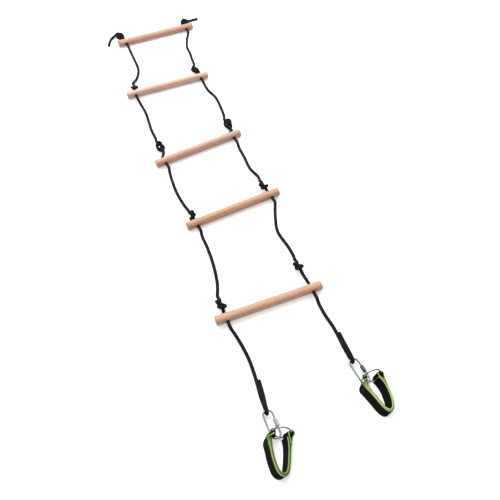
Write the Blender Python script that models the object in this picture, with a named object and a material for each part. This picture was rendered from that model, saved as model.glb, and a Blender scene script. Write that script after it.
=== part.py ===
"""Rope escape ladder: five wooden rungs on two knotted ropes, each rope ending
in an eye, a screw quick link, a wire ring and a padded strap loop.

The ladder lies flat on the floor z = 0 with the strap loops towards -Y and the
loose rope tails towards +Y; left is -X and right is +X.  The origin is the
centre of the ladder's footprint.  All sizes below are millimetres in a layout
frame centred on the middle of the ladder; add_object() turns them into metres.
"""

import math

import bmesh
import bpy
import numpy as np

MM = 0.001
LAYOUT_ORIGIN = (29.35, -154.5)     # footprint centre in the layout frame
SIDES = ("left", "right")
UP = np.array([0.0, 0.0, 1.0])

# ---------------------------------------------------------------- dimensions

RUNG_LENGTH = 300.0
RUNG_RADIUS = 13.0
RUNG_END_ROUND = 2.5
RUNG_SIDES = 24
HOLE_OFFSET = 121.5                 # rope holes, from the rung's middle
HOLE_RADIUS = 5.2
HOLE_SIDES = 14
CUTTER_REACH = 20.0                 # half length of the hole cutters

# rung number: middle x, middle y, turn about Z in degrees
RUNGS = {
    1: (57.0, 672.0, 2.5),
    2: (7.0, 352.0, 1.5),
    3: (2.0, 0.0, 7.5),
    4: (12.0, -286.0, 5.5),
    5: (-20.0, -629.0, 0.0),
}

ROPE_RADIUS = 4.5
ROPE_SIDES = 8
FLOOR_GAP = 0.3                     # clearance of soft parts above the floor
ROPE_FLOOR = ROPE_RADIUS + FLOOR_GAP    # rope centre line when lying on the floor
ROPE_STEP = 2.4                     # spacing of the fine rope centre line
ROPE_TURN = 24.0                    # degrees of bend between the kept rope points

# distances from a rung's axis; "before" is the rung's strap side
BEND_BEFORE = 25.0                  # rope hinge
STUB_BEFORE = 19.8                  # start of the rope length through the rung
SPAN_END_BEFORE = 30.2              # end of the rope length arriving at the rung
LEVEL_BEFORE = 33.0                 # arriving rope has risen to the hole by here
EXIT_AFTER = RUNG_RADIUS + 4.5      # rope runs straight this far past the axis
KNOT_CLEAR_AFTER = RUNG_RADIUS + 9.0    # knot curves start beyond this

RISE_SHARE = 0.42                   # where the arriving rope is half risen
RISE_Z = 9.2
LEVEL_DROP = 0.6                    # arriving rope, below the hole's centre

# stopper knots
KNOT_REACH = 31.0                   # half length of the knotted piece
KNOT_CORE = 16.0                    # half length of its bulky middle
KNOT_LOW = ROPE_FLOOR + 0.2         # lowest point of the core's centre line
KNOT_HIGH = 21.0                    # highest, where the floor allows
KNOT_PULLS = {                      # distance between strands, tightening steps
    "loose": (12.2, 140),
    "tight": (10.4, 400),
}
# distance from the rung's axis, turn about the rope in degrees, pull,
# offset along the rung, hand, lengthwise squash
KNOTS = {
    ("left", 1): (45.0, 190.0, "loose", -8.0, -1, 1.0),
    ("right", 1): (36.0, 180.0, "loose", 10.0, -1, 0.88),
    ("left", 2): (30.5, 350.0, "tight", 8.0, 1, 0.88),
    ("right", 2): (37.0, 220.0, "loose", -3.0, -1, 1.0),
    ("left", 3): (69.0, 190.0, "tight", 15.0, 1, 1.0),
    ("right", 3): (55.0, 120.0, "loose", 15.0, 1, 1.0),
    ("left", 4): (30.5, 290.0, "tight", 0.0, -1, 0.88),
    ("right", 4): (39.0, 20.0, "tight", 0.0, 1, 0.88),
    ("left", 5): (40.0, 40.0, "tight", 2.0, 1, 1.0),
    ("right", 5): (79.0, 20.0, "tight", -2.0, 1, 0.88),
}

# x, y where each rope length lies on the floor after its knot
SPANS = {
    ("left", 5): [(-124, -515), (-113, -455), (-108, -395), (-108, -345)],
    ("right", 5): [(105, -512), (105, -470), (100, -430), (101, -400),
                   (114, -360), (128, -325)],
    ("left", 4): [(-119, -205), (-123, -160), (-122, -115), (-118, -70)],
    ("right", 4): [(133, -185), (125, -155), (122, -130), (125, -85), (125, -45)],
    ("left", 3): [(-113, 105), (-114, 150), (-110, 200), (-107, 245), (-110, 290)],
    ("right", 3): [(136, 130), (141, 175), (144, 220), (141, 248),
                   (133, 275), (131, 305)],
    ("left", 2): [(-84, 442), (-66, 485), (-62, 530), (-62, 590)],
    ("right", 2): [(134, 440), (139, 480), (144, 520), (146, 560),
                   (160, 605), (174, 635)],
    ("left", 1): [(-94, 735), (-111, 719), (-124, 694), (-129, 678)],
    ("right", 1): [(206, 729), (226, 731), (247, 731)],
}

# leads from rung 5 to the eyes: x, y floor points, the eye's centre, its
# heading, and the tilt in degrees of the doubled strands
LEADS = {
    "left": {"path": [(-136, -680), (-131, -725), (-130, -765)],
             "eye": (-143.5, -898.0), "towards": (-12.0, -84.0), "tilt": 58.0},
    "right": {"path": [(101, -680), (101, -715), (104, -745)],
              "eye": (102.0, -855.0), "towards": (-4.0, -84.0), "tilt": 72.0},
}
EYE_SPLICE = 78.0                   # length of the doubled rope
STRAND_STEP = 6.0                   # spacing of points on the doubled rope
STRAND_HALF = 4.85                  # half the distance between doubled strands
EYE_BEND = 7.7                      # rope centre to wire centre in the eye
FLARE_START = 48.0                  # strands start to part, before the eye
FLARE_LENGTH = 42.0

STITCH_START = EYE_SPLICE - 4.0     # distances before the eye's centre
STITCH_END = 52.0
# across the strands, out of the groove
STITCH_SECTION = [(-1.2, 3.4), (1.2, 3.4), (1.6, 4.4), (-1.6, 4.4)]

LINK_WIRE = 2.5
LINK_HALF_WIDTH = 11.5
LINK_LENGTH = 68.0                  # between the two bow centre lines
LINK_GAP = 9.0                      # jaw under the nut
LINK_TO = {                         # point each link heads for
    "left": (-144.5, -966.0, 7.6),
    "right": (108.5, -923.0, 9.2),
}
NUT_LENGTH = 18.0
NUT_RADIUS = 5.4
NUT_BORE = 2.9
NUT_SIDES = 12                      # corners and flat middles of a hexagon
NUT_CHAMFER = (0.9, 0.7)            # along the nut, inwards

RING_RADIUS = 22.0
RING_WIRE = 2.0
RING_FLOOR_GAP = 0.25
RINGS = {                           # x, y, turn in degrees
    "left": (-133.3, -962.5, 23.0),
    "right": (123.2, -916.4, 4.0),
}
RING_LEAN = 3.0 / 21.0              # the top leans back towards the link

WEB_THICK = 2.0
PAD_THICK = 3.2
LINING_THICK = 1.2
LAYER_GAP = 0.35
PAD_OVERHANG = 0.5                  # pad edges past the webbing's edges
LINING_INSET = 0.3

# webbing centre line in a ring's frame: across, forward from the ring's centre
STRAP_LOOPS = {
    "left": [(-36.5, 12), (-34.5, 24), (-31, 37), (-25.5, 60), (-15.5, 86),
             (-3, 96), (8.5, 91), (13.5, 71), (15.5, 38), (19, 11)],
    "right": [(-34.5, 13), (-32, 23), (-28.5, 33), (-21, 57), (-13.5, 82),
              (-3, 94), (8, 90), (16.5, 69), (19.5, 41), (21, 13)],
}

# webbing at the ring, for the left and right leg of each loop.  across, mid_z,
# lean, height: the section's place and shape; radius, angles: the bend round
# the wire; settle: where it starts turning into the leg's section, and over
# what length; sign: mirrors the bend
FOLDS = {
    "left": {"across": -19.8, "mid_z": 21.0, "lean": 0.0, "height": 16.4,
             "radius": 6.2, "settle": (5.0, 17.0), "sign": 1.0,
             "angles": (58, 22, -14, -44, -74, -104, -134, -164, -190)},
    "right": {"across": 16.8, "mid_z": 13.4, "lean": 12.5, "height": 16.6,
              "radius": 7.0, "settle": (1.0, 24.0), "sign": -1.0,
              "angles": (14, -14, -44, -74, -104, -134, -164, -190)},
}
FOLD_BACK = -3.0                    # forward shift of the section's top, at the ring
LEG_BACK = -1.0                     # the same, along the legs
LEG_LEAN = 12.5
LEG_HEIGHT = 20.0
LEG_BOTTOM = FLOOR_GAP + 0.1
LAP_END = 22.0                      # how far the folded webbing comes back
LAP_NEAR = LAP_END - 4.0
GATHER = 13.0                       # where the left fold is drawn in
PAD_STARTS = {                      # least forward place: left leg, right leg
    "left": {"left": 12.0, "right": 9.0},
    "right": {"left": 12.0, "right": 5.0},
}

# ------------------------------------------------------------------ materials


def material(name, colour, roughness, metallic=0.0):
    """Make a plain material, or reuse the one a previous run left."""
    mat = bpy.data.materials.get(name)
    if mat is None:
        mat = bpy.data.materials.new(name)
        mat.use_nodes = True
        shader = mat.node_tree.nodes["Principled BSDF"]
        shader.inputs["Base Color"].default_value = (*colour, 1.0)
        shader.inputs["Roughness"].default_value = roughness
        shader.inputs["Metallic"].default_value = metallic
        mat.diffuse_color = (*colour, 1.0)
    return mat


def make_materials():
    return {
        "wood": material("rung_wood", colour=(0.74, 0.52, 0.36), roughness=0.55),
        "rope": material("black_rope", colour=(0.012, 0.012, 0.013), roughness=0.75),
        "thread": material("eye_thread", colour=(0.05, 0.05, 0.055), roughness=0.7),
        "steel": material("zinc_steel", colour=(0.62, 0.63, 0.64), roughness=0.25,
                          metallic=1.0),
        "nut": material("nut_steel", colour=(0.66, 0.66, 0.67), roughness=0.3,
                        metallic=1.0),
        "webbing": material("black_webbing", colour=(0.012, 0.012, 0.016), roughness=0.8),
        "padding": material("lime_padding", colour=(0.45, 0.68, 0.16), roughness=0.7),
        "lining": material("black_lining", colour=(0.015, 0.014, 0.018), roughness=0.85),
    }


# -------------------------------------------------------------------- objects


def world(point):
    """Layout millimetres to metres in the ladder's own frame."""
    x, y, z = point
    return ((x - LAYOUT_ORIGIN[0]) * MM, (y - LAYOUT_ORIGIN[1]) * MM, z * MM)


def shade(mesh, angle):
    mesh.shade_smooth()
    mesh.set_sharp_from_angle(angle=math.radians(angle))


def add_object(name, verts, faces, mat, pivot=(*LAYOUT_ORIGIN, 0.0), smooth=None, parent=None):
    """Make one closed mesh object whose origin is pivot; smooth is the angle in
    degrees above which edges stay sharp."""
    origin = world(pivot)
    local = [tuple(a - b for a, b in zip(world(vert), origin)) for vert in verts]
    mesh = bpy.data.meshes.new(name)
    mesh.from_pydata(local, [], faces)
    bm = bmesh.new()
    bm.from_mesh(mesh)
    bmesh.ops.recalc_face_normals(bm, faces=bm.faces)
    bm.to_mesh(mesh)
    bm.free()
    mesh.update()
    obj = bpy.data.objects.new(name, mesh)
    obj.location = origin
    bpy.context.scene.collection.objects.link(obj)
    mesh.materials.append(mat)
    if smooth is not None:
        shade(mesh, smooth)
    if parent is not None:
        obj.parent = parent
        obj.matrix_parent_inverse = parent.matrix_basis.inverted()
    return obj


def add_axis(name, at):
    empty = bpy.data.objects.new(name, None)
    empty.empty_display_size = 0.02
    empty.location = world(at)
    bpy.context.scene.collection.objects.link(empty)
    return empty


# --------------------------------------------------------------------- curves


def unit(vector):
    vector = np.asarray(vector, float)
    return vector / np.linalg.norm(vector)


def smoothstep(x):
    x = min(1.0, max(0.0, x))
    return x * x * (3 - 2 * x)


def step_lengths(points):
    return np.linalg.norm(np.diff(points, axis=0), axis=1)


def distance_along(points):
    return np.concatenate([[0.0], np.cumsum(step_lengths(points))])


def resample(points, count):
    """The same polyline with count evenly spaced points."""
    along = distance_along(points)
    wanted = np.linspace(0.0, along[-1], count)
    columns = [np.interp(wanted, along, points[:, i]) for i in range(points.shape[1])]
    return np.stack(columns, 1)


def resample_by(points, spacing):
    return resample(points, int(step_lengths(points).sum() / spacing))


def spline(points, step=4.0):
    """Catmull-Rom curve through the points, sampled about every step mm."""
    pts = np.asarray(points, float)
    pts = np.vstack([2 * pts[0] - pts[1], pts, 2 * pts[-1] - pts[-2]])
    out = []
    for i in range(1, len(pts) - 2):
        a, b, c, d = pts[i - 1:i + 3]
        count = max(2, int(np.linalg.norm(c - b) / step))
        for k in range(count):
            t = k / count
            out.append(0.5 * ((2 * b) + (c - a) * t + (2 * a - 5 * b + 4 * c - d) * t * t
                              + (3 * b - a - 3 * c + d) * t ** 3))
    out.append(pts[-2])
    return np.array(out)


def relax(points, fixed_start, fixed_end, rounds):
    """Ease kinks, leaving the given number of points alone at each end."""
    points = points.copy()
    lo, hi = fixed_start, len(points) - fixed_end
    for _ in range(rounds):
        eased = points.copy()
        middle = (points[lo - 1:hi - 1] + points[lo + 1:hi + 1]) / 2
        eased[lo:hi] = points[lo:hi] + 0.4 * (middle - points[lo:hi])
        points = eased
    return points


def thin_out(points, longest):
    """Keep points where the curve has turned enough, so straight runs stay light."""
    keep, turned, run = [0], 0.0, 0.0
    for i in range(1, len(points) - 1):
        before = unit(points[i] - points[i - 1])
        after = unit(points[i + 1] - points[i])
        turned += math.degrees(math.acos(max(-1.0, min(1.0, float(before @ after)))))
        run += float(np.linalg.norm(points[i] - points[i - 1]))
        if turned >= ROPE_TURN or run >= longest:
            keep.append(i)
            turned, run = 0.0, 0.0
    if np.linalg.norm(points[keep[-1]] - points[-1]) < 2.0 and len(keep) > 1:
        keep.pop()
    keep.append(len(points) - 1)
    return points[keep]


def flat_normals(points):
    """Normals to the right of a flat curve's direction of travel."""
    last = len(points) - 1
    tangents = np.array([unit(points[min(i + 1, last)] - points[max(i - 1, 0)])
                         for i in range(len(points))])
    return np.stack([tangents[:, 1], -tangents[:, 0]], 1)


# --------------------------------------------------------------------- meshes


def turn_with(up, before, after):
    """Carry up along a curve as its tangent turns from before to after."""
    cross = np.cross(before, after)
    sine = np.linalg.norm(cross)
    if sine > 1e-9:
        axis = cross / sine
        angle = math.atan2(sine, float(before @ after))
        up = (up * math.cos(angle) + np.cross(axis, up) * math.sin(angle)
              + axis * (axis @ up) * (1 - math.cos(angle)))
    return unit(up - after * (up @ after))


def tube(path, radius, sides, closed=False, start_up=UP):
    """Vertices and faces of a round bar swept along a path."""
    pts = np.asarray(path, float)
    count = len(pts)
    tangents = []
    for i in range(count):
        if closed:
            tangent = pts[(i + 1) % count] - pts[i - 1]
        elif i == 0:
            tangent = pts[1] - pts[0]
        elif i == count - 1:
            tangent = pts[-1] - pts[-2]
        else:
            tangent = unit(pts[i + 1] - pts[i]) + unit(pts[i] - pts[i - 1])
        tangents.append(unit(tangent))

    verts, faces = [], []
    up = unit(start_up - tangents[0] * (start_up @ tangents[0]))
    for i in range(count):
        if i:
            up = turn_with(up, tangents[i - 1], tangents[i])
        side = np.cross(tangents[i], up)
        for k in range(sides):
            angle = 2 * math.pi * (k + 0.5) / sides
            verts.append(pts[i] + radius * (math.cos(angle) * side + math.sin(angle) * up))
    for i in range(count if closed else count - 1):
        j = (i + 1) % count
        for k in range(sides):
            m = (k + 1) % sides
            faces.append((i * sides + k, j * sides + k, j * sides + m, i * sides + m))
    if not closed:
        faces.append(tuple(range(sides)))
        faces.append(tuple((count - 1) * sides + k for k in range(sides - 1, -1, -1)))
    return verts, faces


def loft_faces(rows, sides, wrap=False):
    """Quads between successive rows of vertices; wrap joins last to first."""
    faces = []
    for j in range(rows if wrap else rows - 1):
        k = (j + 1) % rows
        for i in range(sides):
            m = (i + 1) % sides
            faces.append((j * sides + i, j * sides + m, k * sides + m, k * sides + i))
    return faces


# ---------------------------------------------------------------------- rungs


def rung_frame(number):
    """A rung's centre, its axis towards +X, and the level normal towards +Y."""
    x, y, turn = RUNGS[number]
    angle = math.radians(turn)
    along = np.array([math.cos(angle), math.sin(angle), 0.0])
    ahead = np.array([-math.sin(angle), math.cos(angle), 0.0])
    return np.array([x, y, RUNG_RADIUS]), along, ahead


def hole_at(side, number):
    centre, along, _ = rung_frame(number)
    return centre + along * HOLE_OFFSET * (-1 if side == "left" else 1)


def rung_mesh(number):
    """A bar with rounded end edges, before its holes are cut."""
    centre, along, ahead = rung_frame(number)
    profile = []
    for angle in np.radians((0, 45, 90)):
        profile.append((-RUNG_LENGTH / 2 + RUNG_END_ROUND * (1 - math.cos(angle)),
                        RUNG_RADIUS - RUNG_END_ROUND * (1 - math.sin(angle))))
    profile += [(-x, radius) for x, radius in reversed(profile)]
    verts = []
    for x, radius in profile:
        for i in range(RUNG_SIDES):
            angle = 2 * math.pi * (i + 0.5) / RUNG_SIDES
            verts.append(centre + along * x + ahead * radius * math.cos(angle)
                         + UP * (radius * math.sin(angle)))
    faces = loft_faces(len(profile), RUNG_SIDES)
    faces.append(tuple(range(RUNG_SIDES - 1, -1, -1)))
    faces.append(tuple((len(profile) - 1) * RUNG_SIDES + i for i in range(RUNG_SIDES)))
    return verts, faces


def build_rung(number, mat, parent):
    centre, _, ahead = rung_frame(number)
    rung = add_object(f"rung_{number}", *rung_mesh(number), mat, pivot=centre, parent=parent)
    cutters = []
    for side in SIDES:
        hole = hole_at(side, number)
        ends = [hole - ahead * CUTTER_REACH, hole + ahead * CUTTER_REACH]
        cutter = add_object(f"cut_{side}_{number}", *tube(ends, HOLE_RADIUS, HOLE_SIDES), mat)
        cutter.hide_render = True
        cutters.append(cutter)
        boolean = rung.modifiers.new("hole", "BOOLEAN")
        boolean.operation = "DIFFERENCE"
        boolean.solver = "EXACT"
        boolean.object = cutter

    # bake the holes into the mesh so that the cutters can go
    depsgraph = bpy.context.evaluated_depsgraph_get()
    depsgraph.update()
    drilled = bpy.data.meshes.new_from_object(rung.evaluated_get(depsgraph))
    rung.modifiers.clear()
    rung.data = drilled
    for cutter in cutters:
        bpy.data.objects.remove(cutter)
    shade(drilled, 35)


# ---------------------------------------------------------------------- ropes


def overhand(pitch, steps, count=72):
    """Centre line of an overhand knot along Y, pulled tight until its strands
    lie one pitch apart.  A trefoil polynomial gives the crossings."""
    t = np.linspace(-2.2, 2.2, 200)
    core = np.stack([0.9 * (t ** 4 - 4 * t ** 2), t ** 3 - 3 * t, 0.16 * (t ** 5 - 10 * t)], 1) * 5.0
    start = np.array([[0.0, -KNOT_REACH, 0.0]])
    end = np.array([[0.0, KNOT_REACH, 0.0]])
    points = resample(np.concatenate([start, core, end]), count)
    index = np.arange(count)
    index_gap = np.abs(index[:, None] - index[None])
    for _ in range(steps):
        # shorten the rope, then push strands apart that have come too close
        moved = points.copy()
        moved[1:-1] += 0.45 * ((points[:-2] + points[2:]) / 2 - points[1:-1])
        for _ in range(2):
            # points this near each other along the rope may be close
            neighbours = int(math.ceil(1.45 * pitch / step_lengths(moved).mean()))
            apart = moved[:, None] - moved[None]
            dist = np.linalg.norm(apart, axis=2)
            touching = (index_gap >= neighbours) & (dist < pitch)
            push = np.where(touching, (pitch - dist) / 2, 0.0)
            contacts = np.maximum((push > 0).sum(1), 1)[:, None]
            direction = apart / np.maximum(dist, 1e-6)[:, :, None]
            moved += 0.6 * (direction * push[:, :, None]).sum(1) / contacts
            moved[0], moved[-1] = start, end
        points = resample(moved, count)
    return points


def knot_path(side, number):
    """Centre line of a stopper knot, in place beyond its rung."""
    dist, roll, pull, offset, hand, squash = KNOTS[(side, number)]
    _, along, ahead = rung_frame(number)
    knot = overhand(*KNOT_PULLS[pull]) * [hand, squash, 1.0]
    angle = math.radians(roll)
    turned = np.stack([knot[:, 0] * math.cos(angle) + knot[:, 2] * math.sin(angle),
                       knot[:, 1],
                       -knot[:, 0] * math.sin(angle) + knot[:, 2] * math.cos(angle)], 1)

    # centre the core sideways and set its height, fading out towards the ends
    from_middle = np.abs(turned[:, 1])
    core = turned[from_middle < KNOT_CORE]
    mid_x = (core[:, 0].min() + core[:, 0].max()) / 2
    turned[:, 0] -= mid_x * np.clip(1.6 - from_middle / 17.0, 0.0, 1.0)
    to_high = min(0.0, KNOT_HIGH - (RUNG_RADIUS + core[:, 2].max()))
    to_low = KNOT_LOW - (RUNG_RADIUS + core[:, 2].min())
    turned[:, 2] += max(to_high, to_low) * np.clip(1.5 - from_middle / 24.0, 0.0, 1.0)

    # drop the beginning that would reach back to the rung
    turned = turned[int(np.argmax(turned[:, 1] > KNOT_CLEAR_AFTER - dist)):]
    centre = hole_at(side, number) + ahead * dist + along * offset
    return (centre + np.outer(turned[:, 0], along) + np.outer(turned[:, 1], ahead)
            + np.outer(turned[:, 2], UP))


def floor_points(points):
    return [np.array([x, y, ROPE_FLOOR]) for x, y in points]


def rise_to_rung(side, number, floor_point):
    """Points taking a rope up from floor_point to just short of a rung's hole."""
    _, _, ahead = rung_frame(number)
    hole = hole_at(side, number)
    level = hole - ahead * LEVEL_BEFORE - UP * LEVEL_DROP
    rise = level + (floor_point - level) * RISE_SHARE
    return [np.array([rise[0], rise[1], RISE_Z]), level, hole - ahead * SPAN_END_BEFORE]


def step_path(side, number):
    """One rope length: through a rung's hole, its stopper knot, then across the
    floor to just short of the next rung, or to the loose tail on rung 1."""
    hole = hole_at(side, number)
    _, _, ahead = rung_frame(number)
    start = [hole - ahead * STUB_BEFORE, hole, hole + ahead * EXIT_AFTER]
    knot = knot_path(side, number)
    span = floor_points(SPANS[(side, number)])
    if number > 1:
        span += rise_to_rung(side, number - 1, span[-1])
    tail = spline([knot[-2], knot[-1]] + span)[1:]
    path = resample_by(np.vstack([spline(start), knot, tail]), ROPE_STEP)
    fixed_start = int((STUB_BEFORE + EXIT_AFTER) / ROPE_STEP) + 1
    path = relax(path, fixed_start, 8 if number > 1 else 1, rounds=10)
    path[:, 2] = np.maximum(path[:, 2], ROPE_FLOOR)
    return path


def build_rope_step(side, number, mat, pivot, parent):
    path = thin_out(step_path(side, number), longest=34.0)
    add_object(f"{side}_rope_step_{number}", *tube(path, ROPE_RADIUS, ROPE_SIDES), mat,
               pivot=pivot, smooth=50, parent=parent)


# ------------------------------------------------------------- leads and eyes


def eye_frame(side):
    """The eye's centre, its level heading, and the level normal towards +X."""
    forward = unit([*LEADS[side]["towards"], 0.0])
    across = np.array([-forward[1], forward[0], 0.0])
    return np.array([*LEADS[side]["eye"], ROPE_FLOOR + EYE_BEND]), forward, across


def strand_point(side, before, sign):
    """Point on the doubled rope, before mm short of the eye's centre; sign is
    -1 for the standing part and +1 for the tail."""
    eye, forward, across = eye_frame(side)
    tilt = LEADS[side]["tilt"]
    flare = smoothstep((FLARE_START - before) / FLARE_LENGTH)
    radius = STRAND_HALF + (EYE_BEND - STRAND_HALF) * flare
    angle = math.radians(tilt + (90.0 - tilt) * flare)
    middle_z = ROPE_FLOOR + radius * math.sin(angle)
    return (eye * [1, 1, 0] - forward * before + across * sign * radius * math.cos(angle)
            + UP * (middle_z + sign * radius * math.sin(angle)))


def lead_path(side):
    """Lead from rung 5 to the eye, doubled back beside itself."""
    eye, forward, _ = eye_frame(side)
    ground = floor_points(LEADS[side]["path"])
    head = rise_to_rung(side, 5, ground[0])[::-1] + ground
    down = [strand_point(side, before, -1)
            for before in np.arange(EYE_SPLICE + STRAND_STEP, 5.0, -STRAND_STEP)]
    bend = [eye * [1, 1, 0] + forward * EYE_BEND * math.cos(angle)
            + UP * (eye[2] + EYE_BEND * math.sin(angle))
            for angle in np.radians(np.linspace(-90, 90, 9))]
    back = [strand_point(side, before, 1)
            for before in np.arange(STRAND_STEP, EYE_SPLICE + 0.1, STRAND_STEP)]
    return np.vstack([spline(head + down, 3.0),
                      spline([down[-1]] + bend + [back[0]], 2.0)[1:],
                      spline(back, 3.0)[1:]])


def build_lead(side, mat, pivot, parent):
    path = thin_out(lead_path(side), longest=30.0)
    add_object(f"{side}_rope_lead", *tube(path, ROPE_RADIUS, ROPE_SIDES), mat,
               pivot=pivot, smooth=50, parent=parent)


def build_stitching(side, mat, pivot, parent):
    """A bar of thread along the groove between the doubled strands."""
    eye, forward, level = eye_frame(side)
    tilt = math.radians(LEADS[side]["tilt"])
    across = level * math.cos(tilt) + UP * math.sin(tilt)
    out = -level * math.sin(tilt) + UP * math.cos(tilt)
    base = eye * [1, 1, 0] + UP * (ROPE_FLOOR + STRAND_HALF * math.sin(tilt))
    verts = [base - forward * before + across * x + out * z
             for before in (STITCH_START, STITCH_END) for x, z in STITCH_SECTION]
    faces = [(3, 2, 1, 0), (4, 5, 6, 7), (1, 5, 4, 0), (2, 6, 5, 1), (3, 7, 6, 2), (0, 4, 7, 3)]
    add_object(f"{side}_eye_stitching", verts, faces, mat, pivot=pivot, parent=parent)


# -------------------------------------------------------------- link and ring


def link_frame(side, eye):
    """A link's heading, its level normal towards +X, and its upward normal."""
    forward = unit(np.array(LINK_TO[side]) - eye)
    across = unit(np.cross(UP, forward))
    return forward, across, unit(np.cross(forward, across))


def link_path(eye, forward, across):
    """Open oval, starting and ending at the jaw on the nut side."""
    bow = LINK_HALF_WIDTH
    near, middle, far = bow, LINK_LENGTH / 2, LINK_LENGTH - bow

    def arc(start, stop, centre_y):
        return [(bow * math.cos(angle), centre_y + bow * math.sin(angle))
                for angle in np.radians(np.arange(start, stop, 22.5))]

    points = [(bow, middle + LINK_GAP / 2), (bow, (middle + far) / 2), (bow, far)]
    points += arc(22.5, 180, far)
    points += [(-bow, far), (-bow, middle), (-bow, near)]
    points += arc(202.5, 360, near)
    points += [(bow, near), (bow, (near + middle) / 2), (bow, middle - LINK_GAP / 2)]
    return [eye + across * x + forward * y for x, y in points]


def build_nut(side, centre, frame, mat, parent):
    """Hexagonal sleeve with chamfered ends and a round bore."""
    forward, across, up = frame
    half = NUT_LENGTH / 2
    chamfer_length, chamfer_depth = NUT_CHAMFER
    end_radius = NUT_RADIUS - chamfer_depth
    flat = math.cos(math.pi / 6)
    # place along the nut, corner radius, share of it at the middle of a flat
    rows = [
        (-half, end_radius, flat),
        (-half + chamfer_length, NUT_RADIUS, flat),
        (half - chamfer_length, NUT_RADIUS, flat),
        (half, end_radius, flat),
        (half, NUT_BORE, 1.0),
        (-half, NUT_BORE, 1.0),
    ]
    verts = []
    for y, corner, share in rows:
        for i in range(NUT_SIDES):
            angle = 2 * math.pi * i / NUT_SIDES
            radius = corner * (share if i % 2 else 1.0)
            verts.append(centre + forward * y + across * radius * math.cos(angle)
                         + up * radius * math.sin(angle))
    add_object(f"{side}_link_nut", verts, loft_faces(len(rows), NUT_SIDES, wrap=True), mat,
               pivot=centre, smooth=25, parent=parent)


def build_link(side, eye, mats):
    frame = link_frame(side, eye)
    forward, across, up = frame
    axis = add_axis(f"{side}_link_axis", eye)
    body = tube(link_path(eye, forward, across), LINK_WIRE, 10, start_up=up)
    add_object(f"{side}_link_body", *body, mats["steel"], pivot=eye, smooth=50, parent=axis)
    nut_centre = eye + across * LINK_HALF_WIDTH + forward * (LINK_LENGTH / 2)
    build_nut(side, nut_centre, frame, mats["nut"], axis)


def ring_frame(side):
    """A ring's centre, its level diameter towards +X, the level heading towards
    the strap, and the leaning diameter."""
    x, y, turn = RINGS[side]
    angle = math.radians(turn)
    across = np.array([math.cos(angle), -math.sin(angle), 0.0])
    forward = np.array([-math.sin(angle), -math.cos(angle), 0.0])
    leaning = unit(UP - forward * RING_LEAN)
    z = RING_RADIUS * leaning[2] + RING_WIRE + RING_FLOOR_GAP
    return np.array([x, y, z]), across, forward, leaning


def build_ring(side, eye, mat):
    centre, across, _, leaning = ring_frame(side)
    link_forward, _, _ = link_frame(side, eye)
    axis = add_axis(f"{side}_ring_axis", eye + link_forward * LINK_LENGTH)
    circle = [centre + RING_RADIUS * (math.cos(angle) * across + math.sin(angle) * leaning)
              for angle in np.radians(np.arange(0, 360, 12.0))]
    wire = tube(circle, RING_WIRE, 8, closed=True, start_up=across)
    add_object(f"{side}_ring", *wire, mat, pivot=centre, smooth=60, parent=axis)


# --------------------------------------------------------------------- straps


def strap_section(side, x, y, share):
    """Bottom point and width vector of the webbing x across and y forward of
    the ring; share is the part of the strap's length passed so far."""
    centre, across, forward, _ = ring_frame(side)
    fold = FOLDS["left" if share < 0.5 else "right"]
    settle_start, settle_length = fold["settle"]
    settled = smoothstep((y - settle_start) / settle_length)

    def blend(at_fold, at_leg):
        return at_fold * (1 - settled) + at_leg * settled

    height = blend(fold["height"], LEG_HEIGHT)
    lean = blend(fold["lean"], LEG_LEAN)
    back = blend(FOLD_BACK, LEG_BACK)
    z = blend(fold["mid_z"] - height / 2, LEG_BOTTOM)
    bottom = (np.array([centre[0], centre[1], z]) + across * (x - lean / 2)
              + forward * (y - back / 2))
    return bottom, across * lean + forward * back + UP * height


def build_ribbon(side, layer, line, mat, parent, thick, offset=0.0, grow=0.0):
    """Flat strap of one layer: line is its centre line, offset shifts it
    inwards, grow widens it past the webbing's edges."""
    normals = flat_normals(line)
    along = distance_along(line)
    verts, faces = [], []
    for i, point in enumerate(line):
        for shift in (offset - thick / 2, offset + thick / 2):
            x, y = point + normals[i] * shift
            bottom, width = strap_section(side, x, y, along[i] / along[-1])
            margin = unit(width) * grow
            verts += [bottom - margin, bottom + width + margin]
    for i in range(len(line) - 1):
        a, b = i * 4, (i + 1) * 4
        faces += [(a, a + 1, b + 1, b), (a + 2, b + 2, b + 3, a + 3),
                  (a + 1, a + 3, b + 3, b + 1), (a, b, b + 2, a + 2)]
    faces.append((0, 2, 3, 1))
    end = (len(line) - 1) * 4
    faces.append((end, end + 1, end + 3, end + 2))
    add_object(f"{side}_strap_{layer}", verts, faces, mat, pivot=ring_frame(side)[0],
               smooth=40, parent=parent)


def fold_and_lap(leg, half, normals):
    """The webbing's lap beside one leg, and its bend round the ring wire.  half
    is that leg's half of the loop, running away from the ring."""
    fold = FOLDS[leg]

    def beside(y, gap):
        nearest = int(np.argmin(np.abs(half[:, 1] - y)))
        return half[nearest] + normals[nearest] * gap

    wire = np.array([fold["across"], (RING_RADIUS + RING_WIRE - fold["mid_z"]) * RING_LEAN])
    bend = [wire + fold["radius"] * np.array([fold["sign"] * math.cos(angle), math.sin(angle)])
            for angle in np.radians(fold["angles"])]
    gap = WEB_THICK + LAYER_GAP
    near = beside(LAP_NEAR, gap + 0.5)
    if leg == "left":
        last = beside(GATHER, gap + 0.4)
    else:
        last = near * 0.35 + bend[0] * 0.65
    lap = resample(np.array([beside(LAP_END, gap), near, last, bend[0]]), 20)
    lap = resample(relax(lap, 2, 1, rounds=4), 9)
    return lap, bend


def pad_end(side, leg, lap, offset):
    """The padding's line beside a lap, from the lap's tip towards the ring."""
    line = lap - flat_normals(lap) * FOLDS[leg]["sign"] * offset
    return line[(line[:, 1] < LAP_END + 1.0) & (line[:, 1] > PAD_STARTS[side][leg])]


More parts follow.
